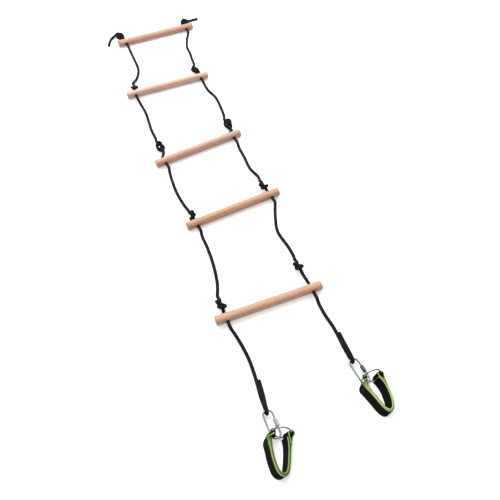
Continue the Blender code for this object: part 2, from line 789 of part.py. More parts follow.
def strap_lines(side):
    """Centre lines of the webbing, folded round the ring and lapped back on
    itself at both ends, and of the padding inside it."""
    loop = spline(STRAP_LOOPS[side])
    normals = flat_normals(loop)
    middle = len(loop) // 2
    left_lap, left_bend = fold_and_lap("left", loop[:middle], normals[:middle])
    right_lap, right_bend = fold_and_lap("right", loop[middle:][::-1], normals[middle:][::-1])
    web = np.vstack([left_lap[:-1], spline(left_bend), loop,
                     np.vstack([right_lap[:-1], spline(right_bend)])[::-1]])
    keep = [0]
    for i in range(1, len(web)):
        if np.linalg.norm(web[i] - web[keep[-1]]) > 1.8:
            keep.append(i)

    # padding: beside the lap near the ring, then beside the webbing itself
    offset = WEB_THICK / 2 + LAYER_GAP + PAD_THICK / 2
    left_end = pad_end(side, "left", np.vstack([left_lap, left_bend[1:2]]), offset + 0.15)
    right_end = pad_end(side, "right", np.vstack([right_lap, right_bend[1:2]]), offset + 0.15)
    beside_web = (loop + normals * offset)[loop[:, 1] > LAP_END + 12.0]
    pad = np.vstack([left_end[::-1], beside_web, right_end])
    return web[keep], relax(resample_by(pad, 5.0), 1, 1, rounds=2)


def build_strap(side, mats):
    """Webbing outside, padding within it, lining innermost."""
    axis = add_axis(f"{side}_strap_axis", ring_frame(side)[0])
    web, pad = strap_lines(side)
    build_ribbon(side, "webbing", web, mats["webbing"], axis, thick=WEB_THICK)
    build_ribbon(side, "pad", pad, mats["padding"], axis, thick=PAD_THICK, grow=PAD_OVERHANG)
    build_ribbon(side, "lining", pad, mats["lining"], axis, thick=LINING_THICK,
                 offset=PAD_THICK / 2 + LAYER_GAP + LINING_THICK / 2, grow=-LINING_INSET)


# ----------------------------------------------------------------- the ladder


def build_step(number, mats):
    """A rung and its two rope lengths.  Their hinge axis runs beside the rung,
    through the place where both ropes leave it on its strap side."""
    centre, _, ahead = rung_frame(number)
    hinge = centre - ahead * BEND_BEFORE
    axis = add_axis(f"fold_axis_{number}", hinge)
    build_rung(number, mats["wood"], axis)
    for side in SIDES:
        build_rope_step(side, number, mats["rope"], hinge, axis)


def build_anchor(side, mats):
    """Everything on one side between rung 5 and the strap loop's far end."""
    hinge = hole_at(side, 5) - rung_frame(5)[2] * BEND_BEFORE
    axis = add_axis(f"{side}_lead_axis", hinge)
    build_lead(side, mats["rope"], hinge, axis)
    build_stitching(side, mats["thread"], hinge, axis)
    eye, _, _ = eye_frame(side)
    build_link(side, eye, mats)
    build_ring(side, eye, mats["steel"])
    build_strap(side, mats)


def main():
    for obj in list(bpy.data.objects):
        bpy.data.objects.remove(obj)
    mats = make_materials()
    for number in RUNGS:
        build_step(number, mats)
    for side in SIDES:
        build_anchor(side, mats)


main()
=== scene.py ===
"""Rope ladder with five wooden rungs, lying flat on a studio floor.

The layout is in millimetres: rungs lie along X, rung 1 furthest towards +Y and rung 5
nearest to -Y.  "Left" is the -X side and "right" the +X side.  One black rope on each
side runs through all rungs, with an overhand knot on the +Y side of each.  Beyond
rung 5, towards -Y, each rope ends in a stitched eye holding a quick link, a wire ring
and a padded strap loop.
"""
import math

import bpy
import numpy as np
from mathutils import Matrix, Vector

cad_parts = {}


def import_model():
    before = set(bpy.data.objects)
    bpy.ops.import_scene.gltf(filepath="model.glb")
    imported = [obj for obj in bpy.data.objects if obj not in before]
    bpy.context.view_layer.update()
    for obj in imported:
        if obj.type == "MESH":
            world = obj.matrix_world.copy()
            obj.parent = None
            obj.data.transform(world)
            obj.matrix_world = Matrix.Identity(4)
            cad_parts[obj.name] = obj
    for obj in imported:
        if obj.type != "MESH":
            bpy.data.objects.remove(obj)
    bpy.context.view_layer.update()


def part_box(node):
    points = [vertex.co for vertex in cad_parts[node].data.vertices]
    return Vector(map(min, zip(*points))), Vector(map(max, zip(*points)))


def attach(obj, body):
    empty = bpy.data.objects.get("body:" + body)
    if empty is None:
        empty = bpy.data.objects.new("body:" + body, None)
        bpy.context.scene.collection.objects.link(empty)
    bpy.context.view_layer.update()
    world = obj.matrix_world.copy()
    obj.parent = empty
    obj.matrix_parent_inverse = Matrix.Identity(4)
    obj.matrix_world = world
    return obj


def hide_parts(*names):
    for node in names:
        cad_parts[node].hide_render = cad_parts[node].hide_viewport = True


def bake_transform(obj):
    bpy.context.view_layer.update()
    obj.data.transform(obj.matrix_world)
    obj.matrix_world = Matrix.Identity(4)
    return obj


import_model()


BOTH = ("left", "right")
UP = np.array([0, 0, 1.0])

# ---------------------------------------------------------------------------
# layout dimensions, mm and degrees
# ---------------------------------------------------------------------------
MM = 0.001
FLOOR_GAP = 0.3                    # between the floor and what lies on it

RUNG_LENGTH = 300.0
RUNG_RADIUS = 13.0
RUNG_UV_LENGTH = 81.7              # length of one UV unit along a rung
HOLE_OFFSET = 121.5                # rung centre to rope hole
END_ROUND = 2.5                    # rounding of a rung's rims
# half of a hole cutter: (distance from the rung's axis, radius)
HOLE_PROFILE = [(19.0, 7.3), (13.4, 7.0), (12.4, 6.15), (11.4, 5.6), (10.4, 5.25)]
# rung: (x, y, turn)
RUNGS = {
    1: (57.0, 672.0, 2.5),
    2: (7.0, 352.0, 1.5),
    3: (2.0, 0.0, 7.5),
    4: (12.0, -286.0, 5.5),
    5: (-20.0, -629.0, 0.0),
}

ROPE_RADIUS = 4.5
ROPE_FLOOR = ROPE_RADIUS + FLOOR_GAP   # centre height of rope on the floor
ROPE_UV_LENGTH = 28.3              # length of one UV unit along a rope or wire
ROPE_SIDES = 40
BRAID_LAY = 5                      # points across one braid strand
STUB = 19.8                        # rope start before its own hole
HOLE_RUN = RUNG_RADIUS + 4.5       # straight rope after the hole centre
SPAN_NEAR = 33.0                   # last guide points before the next hole
SPAN_END = 30.2
RISE_SHARE = 0.42                  # where the climb to a rung begins
RISE_HEIGHT = 9.2
PATH_STEP = 2.4
KNOT_REACH = 31.0                  # half length of a knot with its ends
KNOT_TOP = 21.0                    # highest centre line in a knot
# (side, rung): (distance ahead of the rung, roll, strand pitch, tightening steps,
#                offset along the rung, mirroring, scale along the rope)
KNOTS = {
    ("left", 1): (45.0, 190.0, 12.2, 140, -8.0, -1, 1.0),
    ("right", 1): (36.0, 180.0, 12.2, 140, 10.0, -1, 0.88),
    ("left", 2): (30.5, 350.0, 10.4, 400, 8.0, 1, 0.88),
    ("right", 2): (37.0, 220.0, 12.2, 140, -3.0, -1, 1.0),
    ("left", 3): (69.0, 190.0, 10.4, 400, 15.0, 1, 1.0),
    ("right", 3): (55.0, 120.0, 12.2, 140, 15.0, 1, 1.0),
    ("left", 4): (30.5, 290.0, 10.4, 400, 0.0, -1, 0.88),
    ("right", 4): (39.0, 20.0, 10.4, 400, 0.0, 1, 0.88),
    ("left", 5): (40.0, 40.0, 10.4, 400, 2.0, 1, 1.0),
    ("right", 5): (79.0, 20.0, 10.4, 400, -2.0, 1, 0.88),
}
# (x, y) of the rope on the floor after each knot
SPANS = {
    ("left", 5): [(-124, -515), (-113, -455), (-108, -395), (-108, -345)],
    ("right", 5): [(105, -512), (105, -470), (100, -430), (101, -400), (114, -360),
                   (128, -325)],
    ("left", 4): [(-119, -205), (-123, -160), (-122, -115), (-118, -70)],
    ("right", 4): [(133, -185), (125, -155), (122, -130), (125, -85), (125, -45)],
    ("left", 3): [(-113, 105), (-114, 150), (-110, 200), (-107, 245), (-110, 290)],
    ("right", 3): [(136, 130), (141, 175), (144, 220), (141, 248), (133, 275), (131, 305)],
    ("left", 2): [(-84, 442), (-66, 485), (-62, 530), (-62, 590)],
    ("right", 2): [(134, 440), (139, 480), (144, 520), (146, 560), (160, 605), (174, 635)],
    ("left", 1): [(-94, 735), (-111, 719), (-124, 694), (-129, 678)],
    ("right", 1): [(206, 729), (226, 731), (247, 731)],
}

# leads from rung 5: floor points, eye centre, heading, tilt of the doubled rope
LEADS = {
    "left": {"path": [(-136, -680), (-131, -725), (-130, -765)], "eye": (-143.5, -898.0),
             "towards": (-12.0, -84.0), "tilt": 58.0},
    "right": {"path": [(101, -680), (101, -715), (104, -745)], "eye": (102.0, -855.0),
              "towards": (-4.0, -84.0), "tilt": 72.0},
}
EYE_SPLICE = 78.0                  # length of the doubled rope
STRAND_HALF = 4.85                 # half the distance between doubled strands
EYE_BEND = 7.7                     # rope centre to wire centre in the eye
EYE_HEIGHT = ROPE_FLOOR + EYE_BEND

LINK_WIRE = 2.5                    # wire radius
LINK_HALF_WIDTH = 11.5
LINK_LENGTH = 68.0                 # between the two bow centre lines
LINK_GAP = 9.0                     # jaw under the nut
# the point each link heads for
LINK_TO = {"left": (-144.5, -966.0, 7.6), "right": (108.5, -923.0, 9.2)}
NUT_LENGTH = 18.0
NUT_RADIUS = 5.4
NUT_BORE = 2.9

RING_RADIUS = 22.0
RING_WIRE = 2.0                    # wire radius
RINGS = {"left": (-133.3, -962.5, 23.0), "right": (123.2, -916.4, 4.0)}   # x, y, turn
RING_LEAN = 3.0 / 21.0             # the top leans back towards the link

WEB_THICK = 2.0
PAD_THICK = 3.2
LINING_THICK = 1.2
LAYER_GAP = 0.35
STRAP_WIDTH = 23.5                 # nominal width that UV and weave are scaled to
# webbing centre line (u, v) from the ring centre: u towards +X and v towards -Y,
# both turned with the ring
STRAP_LOOPS = {
    "left": [(-36.5, 12), (-34.5, 24), (-31, 37), (-25.5, 60), (-15.5, 86), (-3, 96),
             (8.5, 91), (13.5, 71), (15.5, 38), (19, 11)],
    "right": [(-34.5, 13), (-32, 23), (-28.5, 33), (-21, 57), (-13.5, 82), (-3, 94),
              (8, 90), (16.5, 69), (19.5, 41), (21, 13)],
}
# folds round the ring: (u, middle height, lean, width, fold radius)
FOLDS = {
    "left": (-19.8, 21.0, 0.0, 16.4, 6.2),
    "right": (16.8, 13.4, 12.5, 16.6, 7.0),
}
FOLD_START = {"left": (58, 22), "right": (14,)}      # angles round the fold
FOLD_TURN = (-14, -44, -74, -104, -134, -164, -190)
FOLD_BACK = -3.0                   # backward lean at the folds and along the legs
LEG_BACK = -1.0
LEG_LEAN = 12.5
LEG_HEIGHT = 20.0
LAP_END = 22.0                     # how far the folded webbing comes back
GATHER = 13.0                      # where the left fold is drawn in
# lowest v of the padding beside the left and the right lap
PAD_LOW = {"left": (12.0, 9.0), "right": (12.0, 5.0)}
BAND_SOFTENING = 3                 # smoothing of a strap line, rounds times step


# ---------------------------------------------------------------------------
# curves
# ---------------------------------------------------------------------------
def unit(vector):
    vector = np.asarray(vector, float)
    return vector / np.linalg.norm(vector)


def lerp(a, b, share):
    return a * (1 - share) + b * share


def smoothstep(x):
    x = np.clip(x, 0.0, 1.0)
    return x * x * (3 - 2 * x)


def path_length(path):
    return np.linalg.norm(np.diff(path, axis=0), axis=1).sum()


def distances(path):
    """Distance of each point along the path."""
    return np.concatenate([[0.0], np.cumsum(np.linalg.norm(np.diff(path, axis=0), axis=1))])


def resample(path, count):
    along = distances(path)
    even = np.linspace(0.0, along[-1], count)
    return np.stack([np.interp(even, along, path[:, i]) for i in range(path.shape[1])], 1)


def thin_out(path, gap):
    """Drop points that follow the last kept one by no more than the gap."""
    keep = [0]
    for i in range(1, len(path)):
        if np.linalg.norm(path[i] - path[keep[-1]]) > gap:
            keep.append(i)
    return path[keep]


def relax(path, rounds, held_start=1, held_end=1):
    """Smooth a path, except for the held points at its ends."""
    lo, hi = held_start, len(path) - held_end
    for _ in range(rounds):
        eased = path.copy()
        middle = (path[lo - 1:hi - 1] + path[lo + 1:hi + 1]) / 2
        eased[lo:hi] = path[lo:hi] + 0.4 * (middle - path[lo:hi])
        path = eased
    return path


def spline(points, step=4.0):
    """Catmull-Rom curve through the points, sampled about every step mm."""
    p = np.asarray(points, float)
    p = np.vstack([2 * p[0] - p[1], p, 2 * p[-1] - p[-2]])
    out = []
    for i in range(1, len(p) - 2):
        a, b, c, d = p[i - 1], p[i], p[i + 1], p[i + 2]
        count = max(2, int(np.linalg.norm(c - b) / step))
        for k in range(count):
            t = k / count
            out.append(0.5 * ((2 * b) + (c - a) * t + (2 * a - 5 * b + 4 * c - d) * t * t
                              + (3 * b - a - 3 * c + d) * t ** 3))
    out.append(p[-2])
    return np.array(out)


def inward_normals(line):
    """Unit normals to the right of travel, which is inside a strap loop."""
    tangent = np.gradient(line, axis=0)
    tangent /= np.linalg.norm(tangent, axis=1)[:, None]
    return np.stack([tangent[:, 1], -tangent[:, 0]], 1)


def cross_directions(path, up, closed=False):
    """Two directions square to the path, carried along it without twist."""
    if closed:
        tangent = np.roll(path, -1, 0) - np.roll(path, 1, 0)
    else:
        tangent = np.gradient(path, axis=0)
    tangent /= np.linalg.norm(tangent, axis=1)[:, None]
    ups = np.zeros_like(path)
    for i, t in enumerate(tangent):
        up = unit(up - t * (up @ t))
        ups[i] = up
    return ups, np.cross(tangent, ups)


# ---------------------------------------------------------------------------
# rope paths
# ---------------------------------------------------------------------------
def rung_frame(k):
    """Rung centre, direction along it (+X) and ahead to the next rung (+Y)."""
    x, y, turn = RUNGS[k]
    a = math.radians(turn)
    along = np.array([math.cos(a), math.sin(a), 0.0])
    ahead = np.array([-math.sin(a), math.cos(a), 0.0])
    return np.array([x, y, RUNG_RADIUS]), along, ahead


def hole_at(side, k):
    centre, along, _ = rung_frame(k)
    return centre + along * HOLE_OFFSET * (-1 if side == "left" else 1)


def overhand_knot(pitch, steps, count=72):
    """Centre line of an overhand knot along Y, pulled tight until its strands
    lie one pitch apart.  A trefoil polynomial gives the crossings."""
    t = np.linspace(-2.2, 2.2, 200)
    crossings = np.stack([0.9 * (t ** 4 - 4 * t ** 2), t ** 3 - 3 * t,
                          0.16 * (t ** 5 - 10 * t)], 1) * 5.0
    start = np.array([[0.0, -KNOT_REACH, 0.0]])
    end = -start
    path = resample(np.concatenate([start, crossings, end]), count)
    index = np.arange(count)
    for _ in range(steps):
        tight = path.copy()
        tight[1:-1] += 0.45 * ((path[:-2] + path[2:]) / 2 - path[1:-1])
        for _ in range(2):
            spacing = np.linalg.norm(np.diff(tight, axis=0), axis=1).mean()
            skip = int(math.ceil(1.45 * pitch / spacing))
            apart = tight[:, None] - tight[None]
            r = np.linalg.norm(apart, axis=2)
            near = (np.abs(index[:, None] - index[None]) >= skip) & (r < pitch)
            push = np.where(near, (pitch - r) / 2, 0.0)
            touching = np.maximum((push > 0).sum(1), 1)[:, None]
            away = apart / np.maximum(r, 1e-6)[:, :, None]
            tight += 0.6 * (away * push[:, :, None]).sum(1) / touching
            tight[0], tight[-1] = start, end
        path = resample(tight, count)
    return path


def climb(side, k, floor_point):
    """Three guide points from the floor up to just short of rung k."""
    ahead = rung_frame(k)[2]
    hole = hole_at(side, k)
    near = hole - ahead * SPAN_NEAR - UP * 0.6
    rise = near + (floor_point - near) * RISE_SHARE
    rise[2] = RISE_HEIGHT
    return [rise, near, hole - ahead * SPAN_END]


def on_floor(points):
    return [np.array([x, y, ROPE_FLOOR]) for x, y in points]


def rope_length(side, k):
    """One rope length: through rung k's hole, its stopper knot, then across the
    floor to just short of rung k - 1, or to the loose tail on rung 1."""
    distance, roll, pitch, steps, offset, hand, squash = KNOTS[(side, k)]
    hole = hole_at(side, k)
    _, along, ahead = rung_frame(k)
    knot = overhand_knot(pitch, steps) * [hand, squash, 1.0]
    w = math.radians(roll)
    knot = np.stack([knot[:, 0] * math.cos(w) + knot[:, 2] * math.sin(w), knot[:, 1],
                     -knot[:, 0] * math.sin(w) + knot[:, 2] * math.cos(w)], 1)
    # centre the knot's body sideways and lift or lower it to lie on the floor
    core = knot[np.abs(knot[:, 1]) < 16.0]
    mid_x = (core[:, 0].min() + core[:, 0].max()) / 2
    knot[:, 0] -= mid_x * np.clip(1.6 - np.abs(knot[:, 1]) / 17.0, 0.0, 1.0)
    drop = min(0.0, KNOT_TOP - (RUNG_RADIUS + core[:, 2].max()))
    shift = max(drop, ROPE_FLOOR + 0.2 - (RUNG_RADIUS + core[:, 2].min()))
    knot[:, 2] += shift * np.clip(1.5 - np.abs(knot[:, 1]) / 24.0, 0.0, 1.0)
    begin = -(distance - RUNG_RADIUS - 9.0)
    knot = knot[int(np.argmax(knot[:, 1] > begin)):]
    body = hole + ahead * distance + along * offset + knot @ np.stack([along, ahead, UP])

    start = [hole - ahead * STUB, hole, hole + ahead * HOLE_RUN]
    ground = on_floor(SPANS[(side, k)])
    if k > 1:
        ground += climb(side, k - 1, ground[-1])
    tail = spline([body[-2], body[-1]] + ground)[1:]
    raw = np.vstack([spline(start), body, tail])
    fine = resample(raw, int(path_length(raw) / PATH_STEP))
    held = int((STUB + HOLE_RUN) / PATH_STEP) + 1
    fine = relax(fine, 10, held, 8 if k > 1 else 1)
    fine[:, 2] = np.maximum(fine[:, 2], ROPE_FLOOR)
    return fine


def eye_frame(side):
    """Floor point under the eye's centre, heading away from rung 5, and the
    direction across it towards +X."""
    heading = unit([*LEADS[side]["towards"], 0.0])
    return (np.array([*LEADS[side]["eye"], 0.0]), heading,
            np.array([-heading[1], heading[0], 0.0]))


def lead_path(side):
    """Lead from rung 5 to the eye, doubled back beside itself."""
    lead = LEADS[side]
    eye, heading, across = eye_frame(side)

    def strand(before, sign):
        """Point this far before the eye's centre; sign -1 standing part, +1 tail."""
        share = smoothstep((48.0 - before) / 42.0)
        r = lerp(STRAND_HALF, EYE_BEND, share)
        w = math.radians(lerp(lead["tilt"], 90.0, share))
        z = ROPE_FLOOR + r * math.sin(w) + sign * r * math.sin(w)
        return eye - heading * before + across * sign * r * math.cos(w) + UP * z

    ground = on_floor(lead["path"])
    head = climb(side, 5, ground[0])[::-1] + ground
    down = [strand(before, -1) for before in np.arange(EYE_SPLICE + 6.0, 5.0, -6.0)]
    bend = [eye + heading * EYE_BEND * math.cos(a) + UP * (EYE_HEIGHT + EYE_BEND * math.sin(a))
            for a in np.radians(np.linspace(-90, 90, 9))]
    back = [strand(before, 1) for before in np.arange(6.0, EYE_SPLICE + 0.1, 6.0)]
    return np.vstack([spline(head + down, 3.0),
                      spline([down[-1]] + bend + [back[0]], 2.0)[1:],
                      spline(back, 3.0)[1:]])


# ---------------------------------------------------------------------------
# link, ring and strap frames
# ---------------------------------------------------------------------------
def link_frame(side):
    """Link start in the eye, and its directions along, across (+X) and up."""
    eye = eye_frame(side)[0] + UP * EYE_HEIGHT
    along = unit(np.array(LINK_TO[side]) - eye)
    across = unit(np.cross(UP, along))
    return eye, along, across, unit(np.cross(along, across))


def ring_frame(side):
    """Ring centre, direction across (u), forward (v) and up in its plane."""
    x, y, turn = RINGS[side]
    a = math.radians(turn)
    across = np.array([math.cos(a), -math.sin(a), 0.0])
    forward = np.array([-math.sin(a), -math.cos(a), 0.0])
    rising = unit(UP - forward * RING_LEAN)
    z = RING_RADIUS * rising[2] + RING_WIRE + 0.25
    return np.array([x, y, z]), across, forward, rising


def strap_lines(side):
    """(u, v) centre lines of the webbing, folded round the ring and lapped back
    on itself at both ends, and of the padding inside it."""
    loop = spline(STRAP_LOOPS[side])
    inward = inward_normals(loop)
    middle = len(loop) // 2
    halves = {"left": (loop[:middle], inward[:middle]),
              "right": (loop[middle:][::-1], inward[middle:][::-1])}
    pad_offset = WEB_THICK / 2 + LAYER_GAP + PAD_THICK / 2
    ends, pad_ends = [], []
    for which, sign, low in zip(BOTH, (1.0, -1.0), PAD_LOW[side]):
        u, z_mid, _, _, radius = FOLDS[which]
        centre = np.array([u, (RING_RADIUS + RING_WIRE - z_mid) * RING_LEAN])
        half, half_inward = halves[which]

        def beside(v, extra):
            k = int(np.argmin(np.abs(half[:, 1] - v)))
            return half[k] + half_inward[k] * (WEB_THICK + LAYER_GAP + extra)

        near = beside(LAP_END - 4.0, 0.5)
        turn = [centre + radius * np.array([sign * math.cos(a), math.sin(a)])
                for a in np.radians(FOLD_START[which] + FOLD_TURN)]
        into_fold = beside(GATHER, 0.4) if which == "left" else near * 0.35 + turn[0] * 0.65
        lap = resample(np.array([beside(LAP_END, 0.0), near, into_fold, turn[0]]), 20)
        lap = resample(relax(lap, 4, held_start=2), 9)
        ends.append(np.vstack([lap[:-1], spline(turn)]))
        lap = np.vstack([lap, turn[1]])
        inner = lap - inward_normals(lap) * sign * (pad_offset + 0.15)
        pad_ends.append(inner[(inner[:, 1] < LAP_END + 1.0) & (inner[:, 1] > low)][::-1])
    web = thin_out(np.vstack([ends[0], loop, ends[1][::-1]]), 1.8)
    # padding: beside the lap near the ring, then beside the webbing itself
    clear = loop[:, 1] > LAP_END + 12.0
    pad = np.vstack([pad_ends[0], loop[clear] + inward[clear] * pad_offset,
                     pad_ends[1][::-1]])
    return web, relax(resample(pad, int(path_length(pad) / 5.0)), 2)


def strap_section(side, u, v, share):
    """Bottom point and width vector of the strap at (u, v); share is the place
    along the band, 0 at its left end to 1 at its right end."""
    centre, across, forward, _ = ring_frame(side)
    u, v, share = np.broadcast_arrays(u, v, share)
    is_left = share < 0.5
    z_mid, fold_lean, fold_height = (np.where(is_left, left, right) for left, right
                                     in zip(FOLDS["left"][1:4], FOLDS["right"][1:4]))
    leg = smoothstep(np.where(is_left, (v - 5.0) / 17.0, (v - 1.0) / 24.0))
    height = lerp(fold_height, LEG_HEIGHT, leg)
    lean = lerp(fold_lean, LEG_LEAN, leg)
    back = lerp(FOLD_BACK, LEG_BACK, leg)
    z = lerp(z_mid - fold_height / 2, FLOOR_GAP + 0.1, leg)
    bottom = (np.stack([np.full_like(u, centre[0]), np.full_like(u, centre[1]), z], -1)
              + across * (u - lean / 2)[..., None] + forward * (v - back / 2)[..., None])
    width = across * lean[..., None] + forward * back[..., None] + UP * height[..., None]
    return bottom, width


# ---------------------------------------------------------------------------
# meshes
# ---------------------------------------------------------------------------
# the layout's origin in the world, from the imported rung 3
_low, _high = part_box("rung_3")
LAYOUT_ORIGIN = np.array([RUNGS[3][i] - (_low[i] + _high[i]) / 2 * 1000.0
                          for i in (0, 1)] + [0.0])


def world(points):
    """Layout millimetres to world metres, for one point or an array of them."""
    return (np.asarray(points, float) - LAYOUT_ORIGIN) * MM


def make_mesh(name, points, quads, ngons=(), uv=None, attrs=None, sharp=55.0, mat=None,
              slot=None, frame=None):
    """One mesh object from layout points.  frame, a centre and three axes, makes
    the object coordinates follow the piece."""
    verts = world(np.reshape(points, (-1, 3)))
    a, b, c, d = (verts[quads[:, i]] for i in range(4))
    volume = (np.einsum("ij,ij->i", a, np.cross(b, c)).sum()
              + np.einsum("ij,ij->i", a, np.cross(c, d)).sum())
    if volume < 0:
        quads = quads[:, ::-1]
        ngons = [tuple(reversed(ngon)) for ngon in ngons]
        if uv is not None:
            uv = uv[:, ::-1]
    matrix = Matrix.Identity(4)
    if frame is not None:
        origin, axes = world(frame[0]), frame[1]
        verts = (verts - origin) @ axes.T
        matrix = Matrix.Translation(Vector(origin)) @ Matrix(axes.T.tolist()).to_4x4()
    mesh = bpy.data.meshes.new(name)
    mesh.from_pydata(verts.tolist(), [], quads.tolist() + list(ngons))
    if uv is not None:
        flat = np.zeros((len(mesh.loops), 2), np.float32)
        flat[:len(quads) * 4] = uv.reshape(-1, 2)
        mesh.uv_layers.new(name="UVMap").data.foreach_set("uv", flat.ravel())
    for key, values in (attrs or {}).items():
        layer = mesh.attributes.new(key, "FLOAT", "POINT")
        layer.data.foreach_set("value", np.asarray(values, np.float32))
    mesh.shade_smooth()
    mesh.set_sharp_from_angle(angle=math.radians(sharp))
    piece = bpy.data.objects.new(name, mesh)
    piece.matrix_world = matrix
    bpy.context.scene.collection.objects.link(piece)
    if mat is not None:
        mesh.materials.append(mat)
    return piece


def grid_faces(rings, sides, closed=False):
    """Quads between rings of points; closed joins the last ring to the first."""
    i = np.arange(rings if closed else rings - 1)[:, None]
    k = np.arange(sides)[None]
    j = (i + 1) % rings
    m = (k + 1) % sides
    corners = [i * sides + k, j * sides + k, j * sides + m, i * sides + m]
    return np.stack(corners, -1).reshape(-1, 4)


def grid_uv(rings, sides, us, vs, closed=False):
    """Corner coordinates: us has sides + 1 values round a ring, vs one for each
    ring (one more if the rings close)."""
    i = np.arange(rings if closed else rings - 1)[:, None]
    k = np.arange(sides)[None]
    corners = ((k, i), (k, i + 1), (k + 1, i + 1), (k + 1, i))
    return np.stack([np.stack(np.broadcast_arrays(us[a], vs[b]), -1) for a, b in corners],
                    2).reshape(-1, 4, 2)


def end_caps(rings, sides, first=0):
    last = first + (rings - 1) * sides
    return [tuple(range(first, first + sides)), tuple(range(last + sides - 1, last - 1, -1))]


def ring_angles(sides):
    return 2 * math.pi * (np.arange(sides) + 0.5) / sides


def turned(centre, axis, across, up, stations, radii, angles):
    """Rings of points round a straight axis, one ring at each station."""
    return (centre + axis * stations[:, None, None]
            + across * (radii * np.cos(angles))[:, :, None]
            + up * (radii * np.sin(angles))[:, :, None])


def tube_points(path, radii, up, closed=False):
    """Rings of points round a path; radii has a row for each ring."""
    ups, across = cross_directions(path, up, closed)
    w = ring_angles(radii.shape[1])
    ring = across[:, None] * np.cos(w)[None, :, None] + ups[:, None] * np.sin(w)[None, :, None]
    return path[:, None] + ring * radii[:, :, None]


def tube_mesh(name, points, lengths=None, uv_length=ROPE_UV_LENGTH, closed=False, **options):
    """Tube from rings of points; lengths, mm along it, give it a UV map."""
    rings, sides = points.shape[:2]
    uv = None
    if lengths is not None:
        uv = grid_uv(rings, sides, np.arange(sides + 1) / sides, lengths / uv_length, closed)
    caps = [] if closed else end_caps(rings, sides)
    return make_mesh(name, points, grid_faces(rings, sides, closed), caps, uv=uv, **options)


def wire_mesh(name, path, radii, sides, up, closed=False, **options):
    """Round wire along a path, with one radius for each ring."""
    points = tube_points(path, np.repeat(radii[:, None], sides, 1), up, closed)
    lengths = distances(np.vstack([path, path[:1]]) if closed else path)
    return tube_mesh(name, points, lengths, closed=closed, **options)


def thread_mesh(name, threads, radii, flatness, mat, slot, sides=8):
    """Many short threads in one mesh; threads is a list of (path, up)."""
    rings = len(radii)
    w = 2 * math.pi * np.arange(sides) / sides
    points, faces, caps = [], [], []
    for number, (path, up) in enumerate(threads):
        ups, across = cross_directions(path, up)
        ring = (across[:, None] * np.cos(w)[None, :, None]
                + ups[:, None] * np.sin(w)[None, :, None] * flatness)
        points.append(path[:, None] + ring * radii[:, None, None])
        first = number * rings * sides
        faces.append(grid_faces(rings, sides) + first)
        caps += end_caps(rings, sides, first)
    return make_mesh(name, np.array(points), np.vstack(faces), caps, mat=mat, slot=slot,
                     sharp=60)


# ---------------------------------------------------------------------------
# materials
# ---------------------------------------------------------------------------
BLACK = (0, 0, 0)
WHITE = (1, 1, 1)


def set_ramp(node, stops):
    elements = node.color_ramp.elements
    while len(elements) > 1:
        elements.remove(elements[-1])
    elements[0].position, elements[0].color = stops[0][0], (*stops[0][1], 1)
    for position, colour in stops[1:]:
        elements.new(position).color = (*colour, 1)


def scaled(colour, factor):
    return tuple(x * factor for x in colour)


